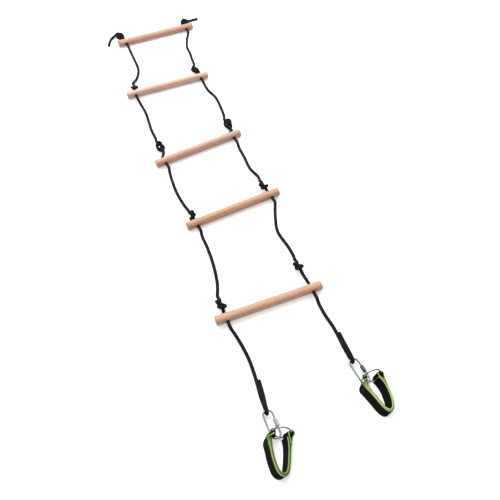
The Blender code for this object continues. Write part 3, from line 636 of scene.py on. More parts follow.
class Shader:
    """A material and short ways to add its nodes; values may be sockets."""

    def __init__(self, name):
        self.material = bpy.data.materials.new(name)
        self.material.use_nodes = True
        self.tree = self.material.node_tree
        self.surface = self.tree.nodes["Principled BSDF"].inputs

    def node(self, kind, **settings):
        node = self.tree.nodes.new(kind)
        for key, value in settings.items():
            setattr(node, key, value)
        return node

    def feed(self, socket, value):
        if isinstance(value, bpy.types.NodeSocket):
            self.tree.links.new(value, socket)
        else:
            socket.default_value = value

    def math(self, operation, a, b, clamp=False):
        node = self.node("ShaderNodeMath", operation=operation, use_clamp=clamp)
        self.feed(node.inputs[0], a)
        self.feed(node.inputs[1], b)
        return node.outputs[0]

    def plus(self, a, b):
        return self.math("ADD", a, b)

    def minus(self, a, b, clamp=False):
        return self.math("SUBTRACT", a, b, clamp)

    def times(self, a, b):
        return self.math("MULTIPLY", a, b)

    def coord(self, which):
        return self.node("ShaderNodeTexCoord").outputs[which]

    def mapping(self, vector, scale=(1, 1, 1), shift=(0, 0, 0), turn=0.0):
        """turn is in radians about Z."""
        node = self.node("ShaderNodeMapping")
        self.feed(node.inputs["Vector"], vector)
        node.inputs["Scale"].default_value = scale
        node.inputs["Location"].default_value = shift
        node.inputs["Rotation"].default_value = (0, 0, turn)
        return node.outputs[0]

    def noise(self, vector, scale, detail=3.0, rough=0.5, distortion=0.0):
        node = self.node("ShaderNodeTexNoise")
        self.feed(node.inputs["Vector"], vector)
        node.inputs["Scale"].default_value = scale
        node.inputs["Detail"].default_value = detail
        node.inputs["Roughness"].default_value = rough
        node.inputs["Distortion"].default_value = distortion
        return node.outputs["Fac"]

    def wave(self, vector, scale, distortion=0.0, detail=0.0, detail_scale=1.0,
             kind="BANDS", direction="X"):
        node = self.node("ShaderNodeTexWave", wave_type=kind, bands_direction=direction)
        self.feed(node.inputs["Vector"], vector)
        node.inputs["Scale"].default_value = scale
        node.inputs["Distortion"].default_value = distortion
        node.inputs["Detail"].default_value = detail
        node.inputs["Detail Scale"].default_value = detail_scale
        return node.outputs["Fac"]

    def ramp(self, factor, stops):
        node = self.node("ShaderNodeValToRGB")
        self.feed(node.inputs[0], factor)
        set_ramp(node, stops)
        return node.outputs[0]

    def mix(self, factor, a, b):
        node = self.node("ShaderNodeMix", data_type="RGBA")
        self.feed(node.inputs[0], factor)
        for i, value in ((6, a), (7, b)):
            self.feed(node.inputs[i], (*value, 1.0) if isinstance(value, tuple) else value)
        return node.outputs[2]

    def mix_float(self, factor, a, b):
        node = self.node("ShaderNodeMix", data_type="FLOAT")
        for i, value in ((0, factor), (2, a), (3, b)):
            self.feed(node.inputs[i], value)
        return node.outputs[0]

    def span(self, factor, low, high):
        """Map 0 to 1 onto low to high."""
        node = self.node("ShaderNodeMapRange")
        self.feed(node.inputs[0], factor)
        node.inputs[3].default_value, node.inputs[4].default_value = low, high
        return node.outputs[0]

    def bump(self, height, strength, distance):
        node = self.node("ShaderNodeBump")
        self.feed(node.inputs["Height"], height)
        node.inputs["Strength"].default_value = strength
        node.inputs["Distance"].default_value = distance
        return node.outputs[0]

    def attr(self, name):
        return self.node("ShaderNodeAttribute", attribute_name=name).outputs["Fac"]

    def done(self, colour, rough, normal=None, metal=0.0, sheen=0.0, tint=WHITE, spec=0.5):
        self.feed(self.surface["Base Color"], colour)
        self.feed(self.surface["Roughness"], rough)
        if normal is not None:
            self.feed(self.surface["Normal"], normal)
        for name, value in (("Metallic", metal), ("Sheen Weight", sheen),
                            ("Sheen Roughness", 0.45), ("Sheen Tint", (*tint, 1.0)),
                            ("Specular IOR Level", spec)):
            self.surface[name].default_value = value
        return self.material


def wood_material(k, light, dark, seed):
    """Sanded softwood dowel: long grain, growth rings and pores.  Object X runs
    along the rung; the seed moves the pattern."""
    s = Shader(f"rung_wood_{k}")
    place = s.coord("Object")
    shift = (seed * 0.37, seed * 0.011 - 0.02, 0.018 + seed * 0.004)
    ring_shift = (seed * 0.2, 0.016 * math.cos(seed), 0.016 * math.sin(seed))
    mid = tuple((a + b) / 2 for a, b in zip(light, dark))
    rings = s.wave(s.mapping(place, scale=(0.35, 1.0, 1.0), shift=ring_shift), scale=46.0,
                   kind="RINGS", distortion=1.6, detail=2.0, detail_scale=1.2)
    grain = s.noise(s.mapping(place, scale=(1.6, 26.0, 26.0), shift=shift),
                    scale=14.0, detail=6.0, rough=0.6, distortion=0.15)
    pores = s.noise(s.mapping(place, scale=(22.0, 900.0, 900.0), shift=shift),
                    scale=1.0, detail=2.0, rough=0.6)
    cloud = s.noise(s.mapping(place, scale=(5.0, 12.0, 12.0), shift=shift),
                    scale=1.3, detail=2.0)
    figure = s.plus(s.times(rings, 0.25), s.times(grain, 0.75))
    colour = s.ramp(figure, [(0.18, dark), (0.42, mid), (0.6, light),
                             (0.85, scaled(light, 1.08))])
    reddish = tuple(x * y for x, y in zip(mid, (1.03, 0.9, 0.84)))
    colour = s.mix(s.span(cloud, low=0.0, high=0.42), colour, reddish)
    pore = s.ramp(pores, [(0.30, BLACK), (0.44, WHITE)])
    colour = s.mix(s.times(s.minus(1.0, pore), 0.3), colour, scaled(dark, 0.62))
    # the ends and their rounded rims are darker and rougher
    ends = s.attr("rim")
    colour = s.mix(s.times(ends, 0.45), colour, scaled(mid, 0.78))
    rough = s.plus(s.span(grain, low=0.40, high=0.56), s.times(ends, 0.1))
    height = s.plus(s.times(pore, 0.5), s.times(grain, 0.8))
    return s.done(colour, rough, s.bump(height, strength=0.35, distance=0.0004), sheen=0.12)


def rope_material():
    """Black braided cord coloured by braid height: painted shade in the crevices and a
    painted highlight on the strand crowns, twisted yarn lines drawn towards that
    highlight grey, and a little dust."""
    crown_highlight = (0.0075, 0.0075, 0.0078)
    s = Shader("black_braid")
    uv = s.coord("UV")
    height = s.attr("braid")
    yarns = [s.wave(s.mapping(uv, turn=math.radians(turn)), scale=26.0, distortion=0.6,
                    detail=1.0, detail_scale=4.0) for turn in (35, -35)]
    yarn = s.mix_float(s.attr("lay"), *yarns)
    dust = s.noise(s.mapping(uv, scale=(8, 8, 8)), scale=2.2, detail=4.0, rough=0.6)
    # braid height sets the colour: painted shade in the crevices, painted highlight on the
    # strand crowns
    colour = s.ramp(height, [(0.15, (0.0004, 0.0004, 0.0004)),
                             (0.62, (0.0013, 0.0013, 0.0014)), (1.0, crown_highlight)])
    # yarn lines drawn towards the painted highlight grey
    colour = s.mix(s.times(yarn, 0.3), colour, crown_highlight)
    colour = s.mix(s.times(s.minus(dust, 0.45, clamp=True), 0.4), colour,
                   (0.016, 0.0157, 0.0155))
    rough = s.plus(s.span(height, low=0.85, high=0.50), s.times(dust, 0.08))
    fine = s.noise(s.mapping(uv, scale=(60, 60, 60)), scale=6.0, detail=2.0)
    relief = s.plus(s.times(yarn, 0.8), s.times(fine, 0.5))
    return s.done(colour, rough, s.bump(relief, strength=0.6, distance=0.00025),
                  sheen=0.01, tint=(0.7, 0.7, 0.72), spec=0.15)


def steel_material(name, base, rough, seed):
    """Zinc plated steel: drawn-wire lines, brighter worn places, dull specks."""
    s = Shader(name)
    place = s.mapping(s.coord("Object"), shift=(seed, seed * 0.7, 0))
    cloud = s.noise(place, scale=130.0, detail=4.0, rough=0.6)
    spots = s.noise(place, scale=900.0, detail=2.0)
    lines = s.wave(s.mapping(s.coord("UV"), scale=(60, 1.0, 1)), scale=1.0,
                   distortion=2.0, detail=2.0, detail_scale=3.0)
    colour = s.mix(s.ramp(cloud, [(0.35, BLACK), (0.7, WHITE)]), base, scaled(base, 0.72))
    speck = s.ramp(spots, [(0.62, BLACK), (0.7, WHITE)])
    colour = s.mix(s.times(speck, 0.5), colour, scaled(base, 0.5))
    roughness = s.plus(s.span(cloud, *rough), s.times(lines, 0.06))
    relief = s.plus(s.times(lines, 0.4), s.times(spots, 0.3))
    return s.done(colour, roughness, s.bump(relief, strength=0.25, distance=0.0001),
                  metal=1.0)


def webbing_material(name, dark, crown_highlight, fleck, lime_from=None):
    """Woven webbing; UV is millimetres, u across and v along.  lime_from is the
    place across the width where lime yarns begin to bind both edges."""
    s = Shader(name)
    uv = s.coord("UV")
    warp = s.wave(uv, scale=0.55, distortion=0.5, detail=1.0, detail_scale=2.0)
    weft = s.wave(uv, scale=0.9, direction="Y", distortion=0.5, detail=1.0,
                  detail_scale=2.0)
    fibre = s.noise(s.mapping(uv, scale=(9.0, 3.0, 1.0)), scale=3.0, rough=0.7)
    cloud = s.noise(uv, scale=0.08)
    # weave relief sets the colour: painted shade in the grooves between ribs, painted
    # highlight on the rib crowns
    colour = s.ramp(s.attr("weave"), [(0.1, dark), (1.0, crown_highlight)])
    colour = s.mix(s.times(fibre, 0.3), colour, fleck)
    colour = s.mix(s.times(s.minus(cloud, 0.4, clamp=True), 0.6), colour,
                   tuple(x * 0.6 + 0.01 for x in fleck))
    bound = 0.0
    if lime_from is not None:
        bound = s.ramp(s.attr("across"), [
            (0.0, WHITE), (1.0 - lime_from, WHITE), (1.004 - lime_from, BLACK),
            (lime_from - 0.004, BLACK), (lime_from, WHITE)])
    lime = s.mix(s.times(warp, 0.5), (0.37, 0.53, 0.155), (0.24, 0.37, 0.075))
    colour = s.mix(bound, colour, lime)
    relief = s.plus(s.times(warp, 0.5), s.times(s.times(weft, fibre), 0.8))
    return s.done(colour, s.span(fibre, low=0.62, high=0.85),
                  s.bump(relief, strength=0.7, distance=0.00022),
                  sheen=0.015, tint=(0.6, 0.6, 0.7), spec=0.12)


def padding_material(name, lime, shade, core, core_share):
    """Lime knit with a core colour between its faces; attribute layer runs
    through its thickness, 0 outside to 1 inside."""
    s = Shader(name)
    uv = s.coord("UV")
    layer = s.attr("layer")
    knits = [s.wave(s.mapping(uv, turn=math.radians(turn)), scale=0.9, distortion=0.8,
                    detail=1.0, detail_scale=2.0) for turn in (45, -45)]
    cell = s.times(*knits)
    cloud = s.noise(uv, scale=0.12, rough=0.6)
    colour = s.mix(s.times(cell, 0.75), shade, lime)
    colour = s.mix(s.times(cloud, 0.25), colour, scaled(lime, 1.25))
    inside = s.ramp(layer, [(0.0, BLACK), (0.16, BLACK), (0.24, WHITE), (0.76, WHITE),
                            (0.84, BLACK)])
    colour = s.mix(s.times(inside, core_share), colour, core)
    relief = s.plus(cell, s.times(cloud, 0.4))
    return s.done(colour, s.span(cell, low=0.82, high=0.66),
                  s.bump(relief, strength=0.55, distance=0.0003),
                  sheen=0.4, tint=(0.8, 1.0, 0.5), spec=0.3)


def thread_material(name, base):
    """Twisted sewing thread."""
    s = Shader(name)
    place = s.coord("Object")
    twist = s.wave(s.mapping(s.coord("UV"), scale=(1, 40, 1), turn=0.5), scale=6.0,
                   distortion=0.3)
    cloud = s.noise(place, scale=300.0, detail=2.0)
    colour = s.mix(s.times(twist, 0.6), scaled(base, 0.5), scaled(base, 1.4))
    colour = s.mix(s.times(cloud, 0.3), colour, base)
    return s.done(colour, s.span(cloud, low=0.45, high=0.65),
                  s.bump(twist, strength=0.6, distance=0.0001), sheen=0.2)


ROPE = rope_material()
LINK_STEEL = {
    "left": steel_material("link_steel_left", base=(0.40, 0.405, 0.415),
                           rough=(0.16, 0.28), seed=0.0),
    "right": steel_material("link_steel_right", base=(0.33, 0.335, 0.345),
                            rough=(0.16, 0.30), seed=1.7),
}
NUT_STEEL = {
    "left": steel_material("nut_steel_left", base=(0.55, 0.55, 0.56),
                           rough=(0.20, 0.32), seed=3.1),
    "right": steel_material("nut_steel_right", base=(0.115, 0.115, 0.12),
                            rough=(0.24, 0.38), seed=4.4),
}
RING_STEEL = steel_material("ring_steel", base=(0.36, 0.365, 0.375), rough=(0.14, 0.24),
                            seed=2.2)
WEBBING = webbing_material("black_webbing_weave", dark=(0.0006, 0.0006, 0.0007),
                           crown_highlight=(0.0036, 0.0036, 0.0042), fleck=(0.0060, 0.0060, 0.0068),
                           lime_from=0.965)
LINING = {side: webbing_material(f"black_lining_knit_{side}", dark=(0.0008, 0.0007, 0.0010),
                                 crown_highlight=(0.0036, 0.0032, 0.0044),
                                 fleck=(0.0058, 0.0053, 0.0068), lime_from=lime_from)
          for side, lime_from in (("right", None), ("left", 0.965))}
LIME = {
    "right": padding_material("lime_binding_right", lime=(0.50, 0.65, 0.235),
                              shade=(0.355, 0.51, 0.127), core=(0.33, 0.48, 0.12),
                              core_share=0.2),
    "left": padding_material("lime_binding_left", lime=(0.36, 0.49, 0.16),
                             shade=(0.20, 0.30, 0.07), core=(0.012, 0.02, 0.008),
                             core_share=0.92),
}
GREY_THREAD = thread_material("grey_thread", base=(0.055, 0.055, 0.058))
DARK_THREAD = thread_material("black_thread", base=(0.010, 0.010, 0.011))
# rung: (light colour, dark colour, seed)
WOOD_LOOKS = {
    1: ((0.560, 0.320, 0.223), (0.460, 0.238, 0.156), 1.3),
    2: ((0.620, 0.424, 0.312), (0.510, 0.320, 0.219), 2.9),
    3: ((0.560, 0.335, 0.246), (0.460, 0.247, 0.173), 4.1),
    4: ((0.560, 0.328, 0.195), (0.455, 0.240, 0.132), 5.7),
    5: ((0.610, 0.367, 0.230), (0.500, 0.275, 0.160), 7.2),
}
WOODS = {k: wood_material(k, *look) for k, look in WOOD_LOOKS.items()}


# ---------------------------------------------------------------------------
# rungs: turned dowels with softened ends and countersunk rope holes
# ---------------------------------------------------------------------------
def dowel(k):
    centre, along, ahead = rung_frame(k)
    half, sides = RUNG_LENGTH / 2, 96
    # end profile: (place along the rung, radius), flat face then rounded rim
    end = [(-half, RUNG_RADIUS - END_ROUND - 5.0), (-half, RUNG_RADIUS - END_ROUND - 0.4)]
    for a in np.radians(np.linspace(90, 0, 7)[1:]):
        end.append((-half + END_ROUND * (1 - math.sin(a)),
                    RUNG_RADIUS - END_ROUND * (1 - math.cos(a))))
    inner = half - END_ROUND - 4.0
    profile = (end + [(x, RUNG_RADIUS) for x in np.linspace(-inner, inner, 50)]
               + [(-x, r) for x, r in reversed(end)])
    stations, radii = np.array(profile).T
    # a hand-sanded dowel is very slightly out of round and never quite even
    w = ring_angles(sides)[None]
    x = stations[:, None]
    phase = k * 1.7
    uneven = (0.10 * np.sin(2 * w + phase + x * 0.011) + 0.06 * np.sin(x * 0.043 + phase)
              + 0.035 * np.sin(3 * w - x * 0.09))
    full = radii[:, None] > RUNG_RADIUS - 0.01
    radius = radii[:, None] + np.where(full, uneven - 0.12, -0.12)
    rim = np.clip((np.abs(stations) - (half - 3.2)) / 2.6, 0, 1)
    return tube_mesh(f"rung_{k}_dowel", turned(centre, along, ahead, UP, stations, radius, w),
                     stations + half, RUNG_UV_LENGTH, attrs={"rim": np.repeat(rim, sides)},
                     sharp=40, mat=WOODS[k], slot="rung_wood",
                     frame=(centre, np.stack([along, ahead, np.cross(along, ahead)])))


def build_rung(k):
    piece = dowel(k)
    _, along, ahead = rung_frame(k)
    stations, radii = np.array([(-y, r) for y, r in HOLE_PROFILE] + HOLE_PROFILE[::-1]).T
    cutters = []
    for side in BOTH:
        points = turned(hole_at(side, k), ahead, along, UP, stations, radii[:, None],
                        ring_angles(40))
        cutter = tube_mesh(f"cut_{side}_{k}", points)
        cutters.append(cutter)
        hole = piece.modifiers.new("hole", "BOOLEAN")
        hole.operation, hole.solver, hole.object = "DIFFERENCE", "EXACT", cutter
    bpy.context.view_layer.update()
    evaluated = piece.evaluated_get(bpy.context.evaluated_depsgraph_get())
    mesh = bpy.data.meshes.new_from_object(evaluated)
    piece.modifiers.clear()
    piece.data = mesh
    mesh.name = f"rung_{k}_dowel"
    for cutter in cutters:
        bpy.data.objects.remove(cutter)
    mesh.shade_smooth()
    mesh.set_sharp_from_angle(angle=math.radians(38))
    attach(piece, f"rung_{k}")
    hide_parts(f"rung_{k}")


for k in RUNGS:
    build_rung(k)


# ---------------------------------------------------------------------------
# ropes: one cord a side, braided all the way, cut into lengths inside the
# rungs' holes; each length bends over the joint beside the next rung
# ---------------------------------------------------------------------------
def braid(rings):
    """Height 0 to 1 of a one-over-one braid, and which lay is on top."""
    i = np.arange(rings)[:, None]
    k = np.arange(ROPE_SIDES)[None]
    a = (k + i) / BRAID_LAY + 0.1
    b = (k - i) / BRAID_LAY + 0.1
    odd = ((np.floor(a) + np.floor(b)).astype(int) % 2) == 1
    across = np.where(odd, b % 1.0, a % 1.0)
    along = np.where(odd, a % 1.0, b % 1.0)
    height = np.sin(np.pi * across) ** 0.6 * (0.72 + 0.28 * np.sin(np.pi * along))
    return height, odd.astype(float)


def build_rope(side):
    raw = np.vstack([lead_path(side)[::-1]] + [rope_length(side, k) for k in (5, 4, 3, 2, 1)])
    raw = thin_out(raw, 0.8)
    # one ring of points for each millimetre
    rings = int(round(path_length(raw))) + 1
    path = relax(resample(raw, rings), 10)
    path[:, 2] = np.maximum(path[:, 2], ROPE_FLOOR)
    path = resample(relax(path, 3), rings)
    height, lay = braid(rings)
    radii = 4.28 + 0.42 * height
    # both cut ends are melted: drawn in a little, the braid fused smooth
    for end, step in ((0, 1), (rings - 1, -1)):
        for q in range(5):
            share = q / 5.0
            if q < 3:
                radii[end + step * q] *= 0.80 + 0.20 * math.sqrt(share)
            height[end + step * q] *= 0.5 + 0.5 * share
    points = tube_points(path, radii, UP)
    cuts = {k: int(np.argmin(np.linalg.norm(path - hole_at(side, k), axis=1))) for k in RUNGS}
    first = 0
    for reached in (5, 4, 3, 2, 1, 0):     # the rung each length runs to; 0 is the tail
        last = cuts.get(reached, rings - 1)
        part, own = f"step_{reached + 1}", f"ropes_{reached + 1}"
        if reached == 5:
            part, own = "lead", f"{side}_lead"
        cut = slice(first, last + 1)
        piece = tube_mesh(f"{side}_rope_{part}_braid", points[cut], np.arange(first, last + 1),
                          attrs={"braid": height[cut].ravel(), "lay": lay[cut].ravel()},
                          sharp=75, mat=ROPE, slot="black_rope")
        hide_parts(f"{side}_rope_{part}")
        if reached == 0:
            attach(piece, own)
        else:
            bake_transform(piece)
        first = last


def build_eye_stitches(side):
    """Stitches along the doubled strands of the eye, on both faces."""
    eye, heading, sideways = eye_frame(side)
    tilt = math.radians(LEADS[side]["tilt"])
    across = sideways * math.cos(tilt) + UP * math.sin(tilt)
    out = -sideways * math.sin(tilt) + UP * math.cos(tilt)
    base = eye + UP * (ROPE_FLOOR + STRAND_HALF * math.sin(tilt))
    x = np.linspace(-1, 1, 9)
    threads = []
    for row in range(11):
        middle = base - heading * (EYE_SPLICE - 4.0 - row * 3.2)
        for face in (1.0, -1.0):
            # a stitch crosses the groove on a slant, from crown to crown
            path = (middle + np.outer(2.9 * x, across) + np.outer(0.9 * x, heading)
                    + np.outer(3.35 + 1.15 * np.abs(x) ** 1.5, out * face))
            threads.append((path, out))
    radii = 0.45 * np.sqrt(np.clip(1 - (x * 0.96) ** 6, 0.05, 1))
    # the grey thread is partly a painted highlight: its paler grey stands in for the sheen
    # streak along the middle of the doubled rope
    piece = thread_mesh(f"{side}_eye_stitches", threads, radii, flatness=1.0,
                        mat=GREY_THREAD, slot="eye_thread")
    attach(piece, f"{side}_lead")
    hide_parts(f"{side}_eye_stitching")


for side in BOTH:
    build_rope(side)
    build_eye_stitches(side)


# ---------------------------------------------------------------------------
# quick links, nuts and rings
# ---------------------------------------------------------------------------
def build_link(side):
    """Wire with a bow at each end, open on its +X side under the nut."""
    eye, along, across, up = link_frame(side)
    r, middle = LINK_HALF_WIDTH, LINK_LENGTH / 2
    y0, y1 = r, LINK_LENGTH - r
    points = [(r, y) for y in np.linspace(middle + LINK_GAP / 2, y1, 30)]
    points += [(r * math.cos(a), y1 + r * math.sin(a))
               for a in np.radians(np.linspace(0, 180, 41)[1:])]
    points += [(-r, y) for y in np.linspace(y1, y0, 24)[1:]]
    points += [(r * math.cos(a), y0 + r * math.sin(a))
               for a in np.radians(np.linspace(180, 360, 41)[1:])]
    points += [(r, y) for y in np.linspace(y0, middle - LINK_GAP / 2, 30)[1:]]
    path = resample(np.array([eye + across * x + along * y for x, y in points]), 420)
    run = distances(path)
    from_end = np.minimum(run, run[-1] - run)
    radii = np.full(len(path), LINK_WIRE - 0.03)
    # thread with a 1 mm pitch, and tapered ends
    thread = from_end < 8.5
    radii[thread] = LINK_WIRE - 0.32 + 0.24 * (
        0.5 + 0.5 * np.cos(2 * math.pi * from_end[thread]))
    radii *= np.minimum(0.82 + from_end / 3.2, 1)
    piece = wire_mesh(f"{side}_link_wire", path, radii, 28, up, mat=LINK_STEEL[side],
                      slot="zinc_steel", sharp=50)
    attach(piece, f"{side}_link")
    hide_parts(f"{side}_link_body")


def build_nut(side):
    """Barrel nut: hexagon with turned chamfers and a through bore."""
    eye, along, across, up = link_frame(side)
    centre = eye + across * LINK_HALF_WIDTH + along * (LINK_LENGTH / 2)
    half, sides = NUT_LENGTH / 2, 72
    w = 2 * math.pi * np.arange(sides) / sides
    flat = NUT_RADIUS * math.cos(math.pi / 6)
    hexagon = np.minimum(flat / np.cos((w % (math.pi / 3)) - math.pi / 6), NUT_RADIUS - 0.12)
    insets = (0.0, 0.15, 0.5, 0.95, 1.4, 2.2)
    stations = ([inset - half for inset in insets] + [-2.0, 2.0]
                + [half - inset for inset in reversed(insets)])
    radii = [np.minimum(hexagon, NUT_RADIUS - 0.85 + 0.62 * (half - abs(y)))
             for y in stations]
    for y, r in ((half, NUT_BORE + 0.55), (half - 0.5, NUT_BORE),
                 (-half + 0.5, NUT_BORE), (-half, NUT_BORE + 0.55)):
        stations.append(y)
        radii.append(np.full(sides, r))
    points = turned(centre, along, across, up, np.array(stations), np.array(radii), w)
    piece = tube_mesh(f"{side}_link_barrel_nut", points, np.array(stations + stations[:1]),
                      closed=True, mat=NUT_STEEL[side], slot="nut_steel", sharp=22)
    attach(piece, f"{side}_nut")
    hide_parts(f"{side}_link_nut")


def build_ring(side):
    centre, across, _, rising = ring_frame(side)
    w = np.radians(np.arange(0, 360, 3.0))
    loop = centre + RING_RADIUS * (np.cos(w)[:, None] * across + np.sin(w)[:, None] * rising)
    # butt weld: a faint raised bead near the top
    radii = RING_WIRE + 0.16 * np.exp(-((np.degrees(w) - 96.0) / 3.5) ** 2)
    piece = wire_mesh(f"{side}_wire_ring", loop, radii, 24, across, closed=True,
                      mat=RING_STEEL, slot="zinc_steel", sharp=60)
    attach(piece, f"{side}_ring")
    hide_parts(f"{side}_ring")


for side in BOTH:
    build_link(side)
    build_nut(side)
    build_ring(side)


# ---------------------------------------------------------------------------
# padded strap loops
# ---------------------------------------------------------------------------
RIB_PITCH = 2.35
# places across each layer, 0 at the bottom edge to 1 at the top edge
WEB_ACROSS = np.concatenate([[0.0, 0.008, 0.02, 0.036], np.linspace(0.055, 0.945, 39),
                             [0.964, 0.98, 0.992, 1.0]])
PAD_OVERHANG = 0.022
PAD_ACROSS = np.concatenate([[-PAD_OVERHANG, -0.018, -0.008, 0.008, 0.03],
                             np.linspace(0.06, 0.94, 23),
                             [0.97, 0.992, 1.008, 1.018, 1.022]])
LINING_ACROSS = np.concatenate([[0.012, 0.018, 0.03], np.linspace(0.05, 0.95, 31),
                                [0.97, 0.982, 0.988]])
WEB_STITCH = -WEB_THICK / 2 - 0.12       # stitch offsets from a layer's centre
LINING_STITCH = LINING_THICK / 2 + 0.10
# seams of a box stitch: (start along, start across, end along, end across, stitches)
BOX_SEAMS = [
    (0.02, 0.10, 0.98, 0.10, 5), (0.02, 0.90, 0.98, 0.90, 5),
    (0.02, 0.10, 0.02, 0.90, 7), (0.98, 0.10, 0.98, 0.90, 7),
    (0.02, 0.10, 0.98, 0.90, 8), (0.02, 0.90, 0.98, 0.10, 8),
]


def web_relief(along, x):
    """Ribbed webbing: long ribs with the filling yarn showing between them."""
    cross = 0.07 * np.sin(2 * math.pi * along / 1.8 + math.pi * np.floor(x / (RIB_PITCH / 2)))
    return 0.08 * np.sin(2 * math.pi * x / RIB_PITCH) + cross


def knit_relief(along, x):
    return 0.05 * np.sin(2 * math.pi * along / 2.2) * np.sin(2 * math.pi * x / 2.2)


def half_thickness(across, thick, rounding, edge=0.35, overhang=0.0):
    """Half thickness across a layer, down to the share edge at its rims."""
    inset = np.clip((np.minimum(across, 1 - across) + overhang) / rounding, 0, 1)
    return thick / 2 * (edge + (1 - edge) * np.sqrt(1 - (1 - inset) ** 2))


def band(name, side, replaced, line, step, across, half, relief, mat, slot):
    """Strap layer swept along a (u, v) line.  Returns its line and a function for
    layout points on it, by ring, inward offset and place across."""
    line = resample(line, int(path_length(line) / step))
    line = relax(line, int(BAND_SOFTENING / step))
    inward = inward_normals(line)
    along = distances(line)
    share = along / along[-1]
    rings = len(line)
    # cross-section runs up the outer face, over the top edge, down the inner
    places = np.concatenate([across, across[::-1]])
    offsets = np.concatenate([-half, half[::-1]])
    face = np.repeat([-1.0, 1.0], len(across))
    sides = len(places)
    weave = relief(along[:, None], places[None] * STRAP_WIDTH)
    q = line[:, None] + inward[:, None] * (offsets[None] + weave * face[None])[:, :, None]
    bottom, width = strap_section(side, q[..., 0], q[..., 1], share[:, None])
    us = np.append(places, places[0]) * STRAP_WIDTH
    depth = (offsets - offsets.min()) / (offsets.max() - offsets.min())
    attrs = {
        "weave": ((weave - weave.min()) / (weave.max() - weave.min())).ravel(),
        "across": np.tile(np.clip(places, 0, 1), rings),
        "layer": np.tile(depth, rings),
    }
    piece = make_mesh(f"{side}_strap_{name}", bottom + width * places[None, :, None],
                      grid_faces(rings, sides), end_caps(rings, sides),
                      uv=grid_uv(rings, sides, us, along), attrs=attrs, sharp=70, mat=mat,
                      slot=slot)
    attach(piece, f"{side}_strap")
    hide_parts(f"{side}_strap_{replaced}")

    def place(i, offset, a):
        u, v = line[i] + inward[i] * offset
        low, wide = strap_section(side, u, v, share[i])
        return low + wide * a

    return line, place


def stitch(place, offset, start, end):
    """Ends and outward direction of one stitch between two (ring, across)."""
    i, a = start
    outward = unit(place(i, math.copysign(2.0, offset), a) - place(i, 0.0, a))
    return place(i, offset, a), place(end[0], offset, end[1]), outward


def stitch_row(name, side, stitches, mat, radius):
    """Lock stitches, each a little arched."""
    f = np.linspace(0, 1, 7)
    arch = 0.28 * np.sin(np.pi * f) - 0.05
    threads = [(np.outer(1 - f, a) + np.outer(f, b) + np.outer(arch, outward), outward)
               for a, b, outward in stitches]
    radii = radius * np.sqrt(np.clip(1 - (2 * f - 1) ** 4, 0.12, 1))
    piece = thread_mesh(f"{side}_strap_{name}", threads, radii, flatness=0.8, mat=mat,
                        slot="black_webbing")
    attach(piece, f"{side}_strap")


def box_stitches(line, place):
    """Box stitching through each lapped end, seen on the outer face."""
    stitches = []
    far = int(np.argmax(line[:, 1]))
    for half in (range(0, far), range(len(line) - 1, far, -1)):
        # the outer leg is the part whose |u| is greatest at each v
        outer = {}
        for i in half:
            key = round(line[i, 1] / 0.6)
            if key not in outer or abs(line[i, 0]) > abs(line[outer[key], 0]):
                outer[key] = i
        leg = [outer[key] for key in sorted(outer) if 13.2 <= key * 0.6 <= 26.4]
        for f0, a0, f1, a1, count in BOX_SEAMS:
            for j in range(count):
                ends = []
                for g in ((j + 0.12) / count, (j + 0.88) / count):
                    i = leg[int(round((f0 + (f1 - f0) * g) * (len(leg) - 1)))]
                    ends.append((i, a0 + (a1 - a0) * g))
                stitches.append(stitch(place, WEB_STITCH, *ends))
    return stitches


def build_strap(side):
    web, pad = strap_lines(side)
    line, on_web = band(
        "webbing_weave", side, "webbing", web, step=0.6, across=WEB_ACROSS,
        half=half_thickness(WEB_ACROSS, WEB_THICK, rounding=0.045),
        relief=web_relief, mat=WEBBING, slot="black_webbing")
    stitch_row("box_stitch", side, box_stitches(line, on_web), GREY_THREAD, radius=0.42)
    band("padding", side, "pad", pad, step=0.8, across=PAD_ACROSS,
         half=half_thickness(PAD_ACROSS, PAD_THICK, rounding=0.075, edge=0.12,
                             overhang=PAD_OVERHANG),
         relief=knit_relief, mat=LIME[side], slot="lime_padding")
    inner = pad + inward_normals(pad) * (PAD_THICK / 2 + LAYER_GAP + LINING_THICK / 2)
    lining, on_lining = band(
        "lining_knit", side, "lining", inner, step=0.7, across=LINING_ACROSS,
        half=half_thickness(LINING_ACROSS, LINING_THICK, rounding=0.04),
        relief=knit_relief, mat=LINING[side], slot="black_lining")
    # two rows of lock stitches along the lining's inner face
    rows = [stitch(on_lining, LINING_STITCH, (i, a), (i + 3, a))
            for a in (0.10, 0.90) for i in range(5, len(lining) - 8, 5)]
    stitch_row("lining_stitch", side, rows, DARK_THREAD, radius=0.36)
    # and two along the webbing's outer face
    beyond = np.flatnonzero(line[:, 1] > 28.0)
    rows = [stitch(on_web, WEB_STITCH, (i, a), (i + 4, a))
            for i in range(beyond[0], beyond[-1] - 5, 6) for a in (0.12, 0.88)]
    stitch_row("outer_stitch", side, rows, DARK_THREAD, radius=0.36)


for side in BOTH:
    build_strap(side)


# ---------------------------------------------------------------------------
# floor, light, camera (metres)
# ---------------------------------------------------------------------------
def floor_material():
    s = Shader("studio_floor")
    place = s.coord("Object")
    cloud = s.noise(place, scale=1.5, detail=2.0)
    grit = s.noise(place, scale=220.0, detail=2.0)
    colour = s.mix(cloud, (0.84, 0.84, 0.84), (0.86, 0.86, 0.86))
    # a lit white sweep: it glows a little, so shadows on it stay faint, but it
    # throws less light back on the undersides of the pieces
    seen = s.node("ShaderNodeLightPath").outputs["Is Camera Ray"]
    colour = s.mix(seen, (0.76, 0.76, 0.76), colour)
    s.feed(s.surface["Emission Color"], colour)
    s.feed(s.surface["Emission Strength"], s.times(seen, 0.45))
    return s.done(colour, s.span(grit, low=0.85, high=0.95), spec=0.1)


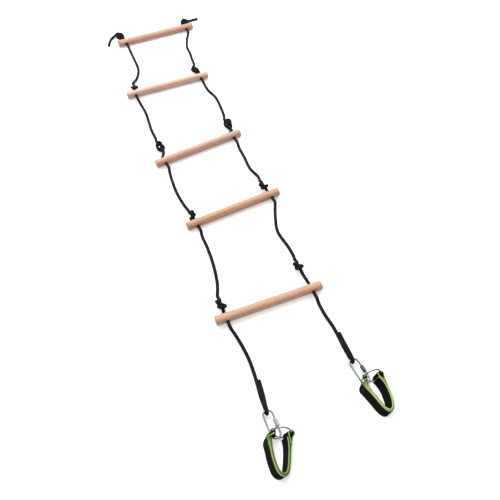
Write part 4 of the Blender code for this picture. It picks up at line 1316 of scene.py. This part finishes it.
def build_floor(half=45, count=19, z=-0.0004):
    mesh = bpy.data.meshes.new("studio_floor")
    places = np.linspace(-half, half, count)
    verts = [(x, y, z) for y in places for x in places]
    corners = [j * count + i for j in range(count - 1) for i in range(count - 1)]
    mesh.from_pydata(verts, [], [(c, c + 1, c + count + 1, c + count) for c in corners])
    mesh.materials.append(floor_material())
    floor = bpy.data.objects.new("studio_floor", mesh)
    bpy.context.scene.collection.objects.link(floor)


def build_world():
    """Sky that brightens with height."""
    studio = bpy.data.worlds.new("studio")
    bpy.context.scene.world = studio
    studio.use_nodes = True
    nodes, links = studio.node_tree.nodes, studio.node_tree.links
    background = nodes["Background"]
    coord = nodes.new("ShaderNodeTexCoord")
    split = nodes.new("ShaderNodeSeparateXYZ")
    ramp = nodes.new("ShaderNodeValToRGB")
    links.new(coord.outputs["Generated"], split.inputs[0])
    links.new(split.outputs["Z"], ramp.inputs[0])
    set_ramp(ramp, [(0.0, (0.10, 0.10, 0.105)), (0.28, (0.16, 0.16, 0.165)), (0.6, WHITE)])
    links.new(ramp.outputs[0], background.inputs[0])
    background.inputs["Strength"].default_value = 0.75


def softbox(name, place, target, size, power):
    light = bpy.data.lights.new(name, "AREA")
    light.shape = "RECTANGLE"
    light.size, light.size_y = size
    light.energy = power
    lamp = bpy.data.objects.new(name, light)
    lamp.location = place
    aim = Vector(target) - Vector(place)
    lamp.rotation_euler = aim.to_track_quat("-Z", "Y").to_euler()
    bpy.context.scene.collection.objects.link(lamp)


def build_camera():
    camera = bpy.data.cameras.new("camera")
    camera.lens, camera.sensor_width = 43.2, 36.0
    camera.clip_start, camera.clip_end = 0.05, 50.0
    holder = bpy.data.objects.new("camera", camera)
    holder.location = tuple(world((-388.5, -1404.7, 1334.0)))
    holder.rotation_euler = (math.radians(38.0), 0.0, math.radians(-22.0))
    bpy.context.scene.collection.objects.link(holder)
    bpy.context.scene.camera = holder


build_floor()
build_world()
softbox("softbox_top", place=(0.3, 2.0, 3.1), target=(0, -0.1, 0), size=(4.8, 2.6),
        power=185.0)
softbox("softbox_left", place=(-2.6, 0.2, 2.4), target=(0, 0, 0), size=(2.0, 2.4),
        power=14.0)
softbox("softbox_right", place=(2.6, 0.6, 2.2), target=(0, -0.2, 0), size=(1.6, 2.4),
        power=10.0)
build_camera()

bpy.context.scene.view_settings.view_transform = "Standard"
bpy.context.scene.view_settings.look = "None"
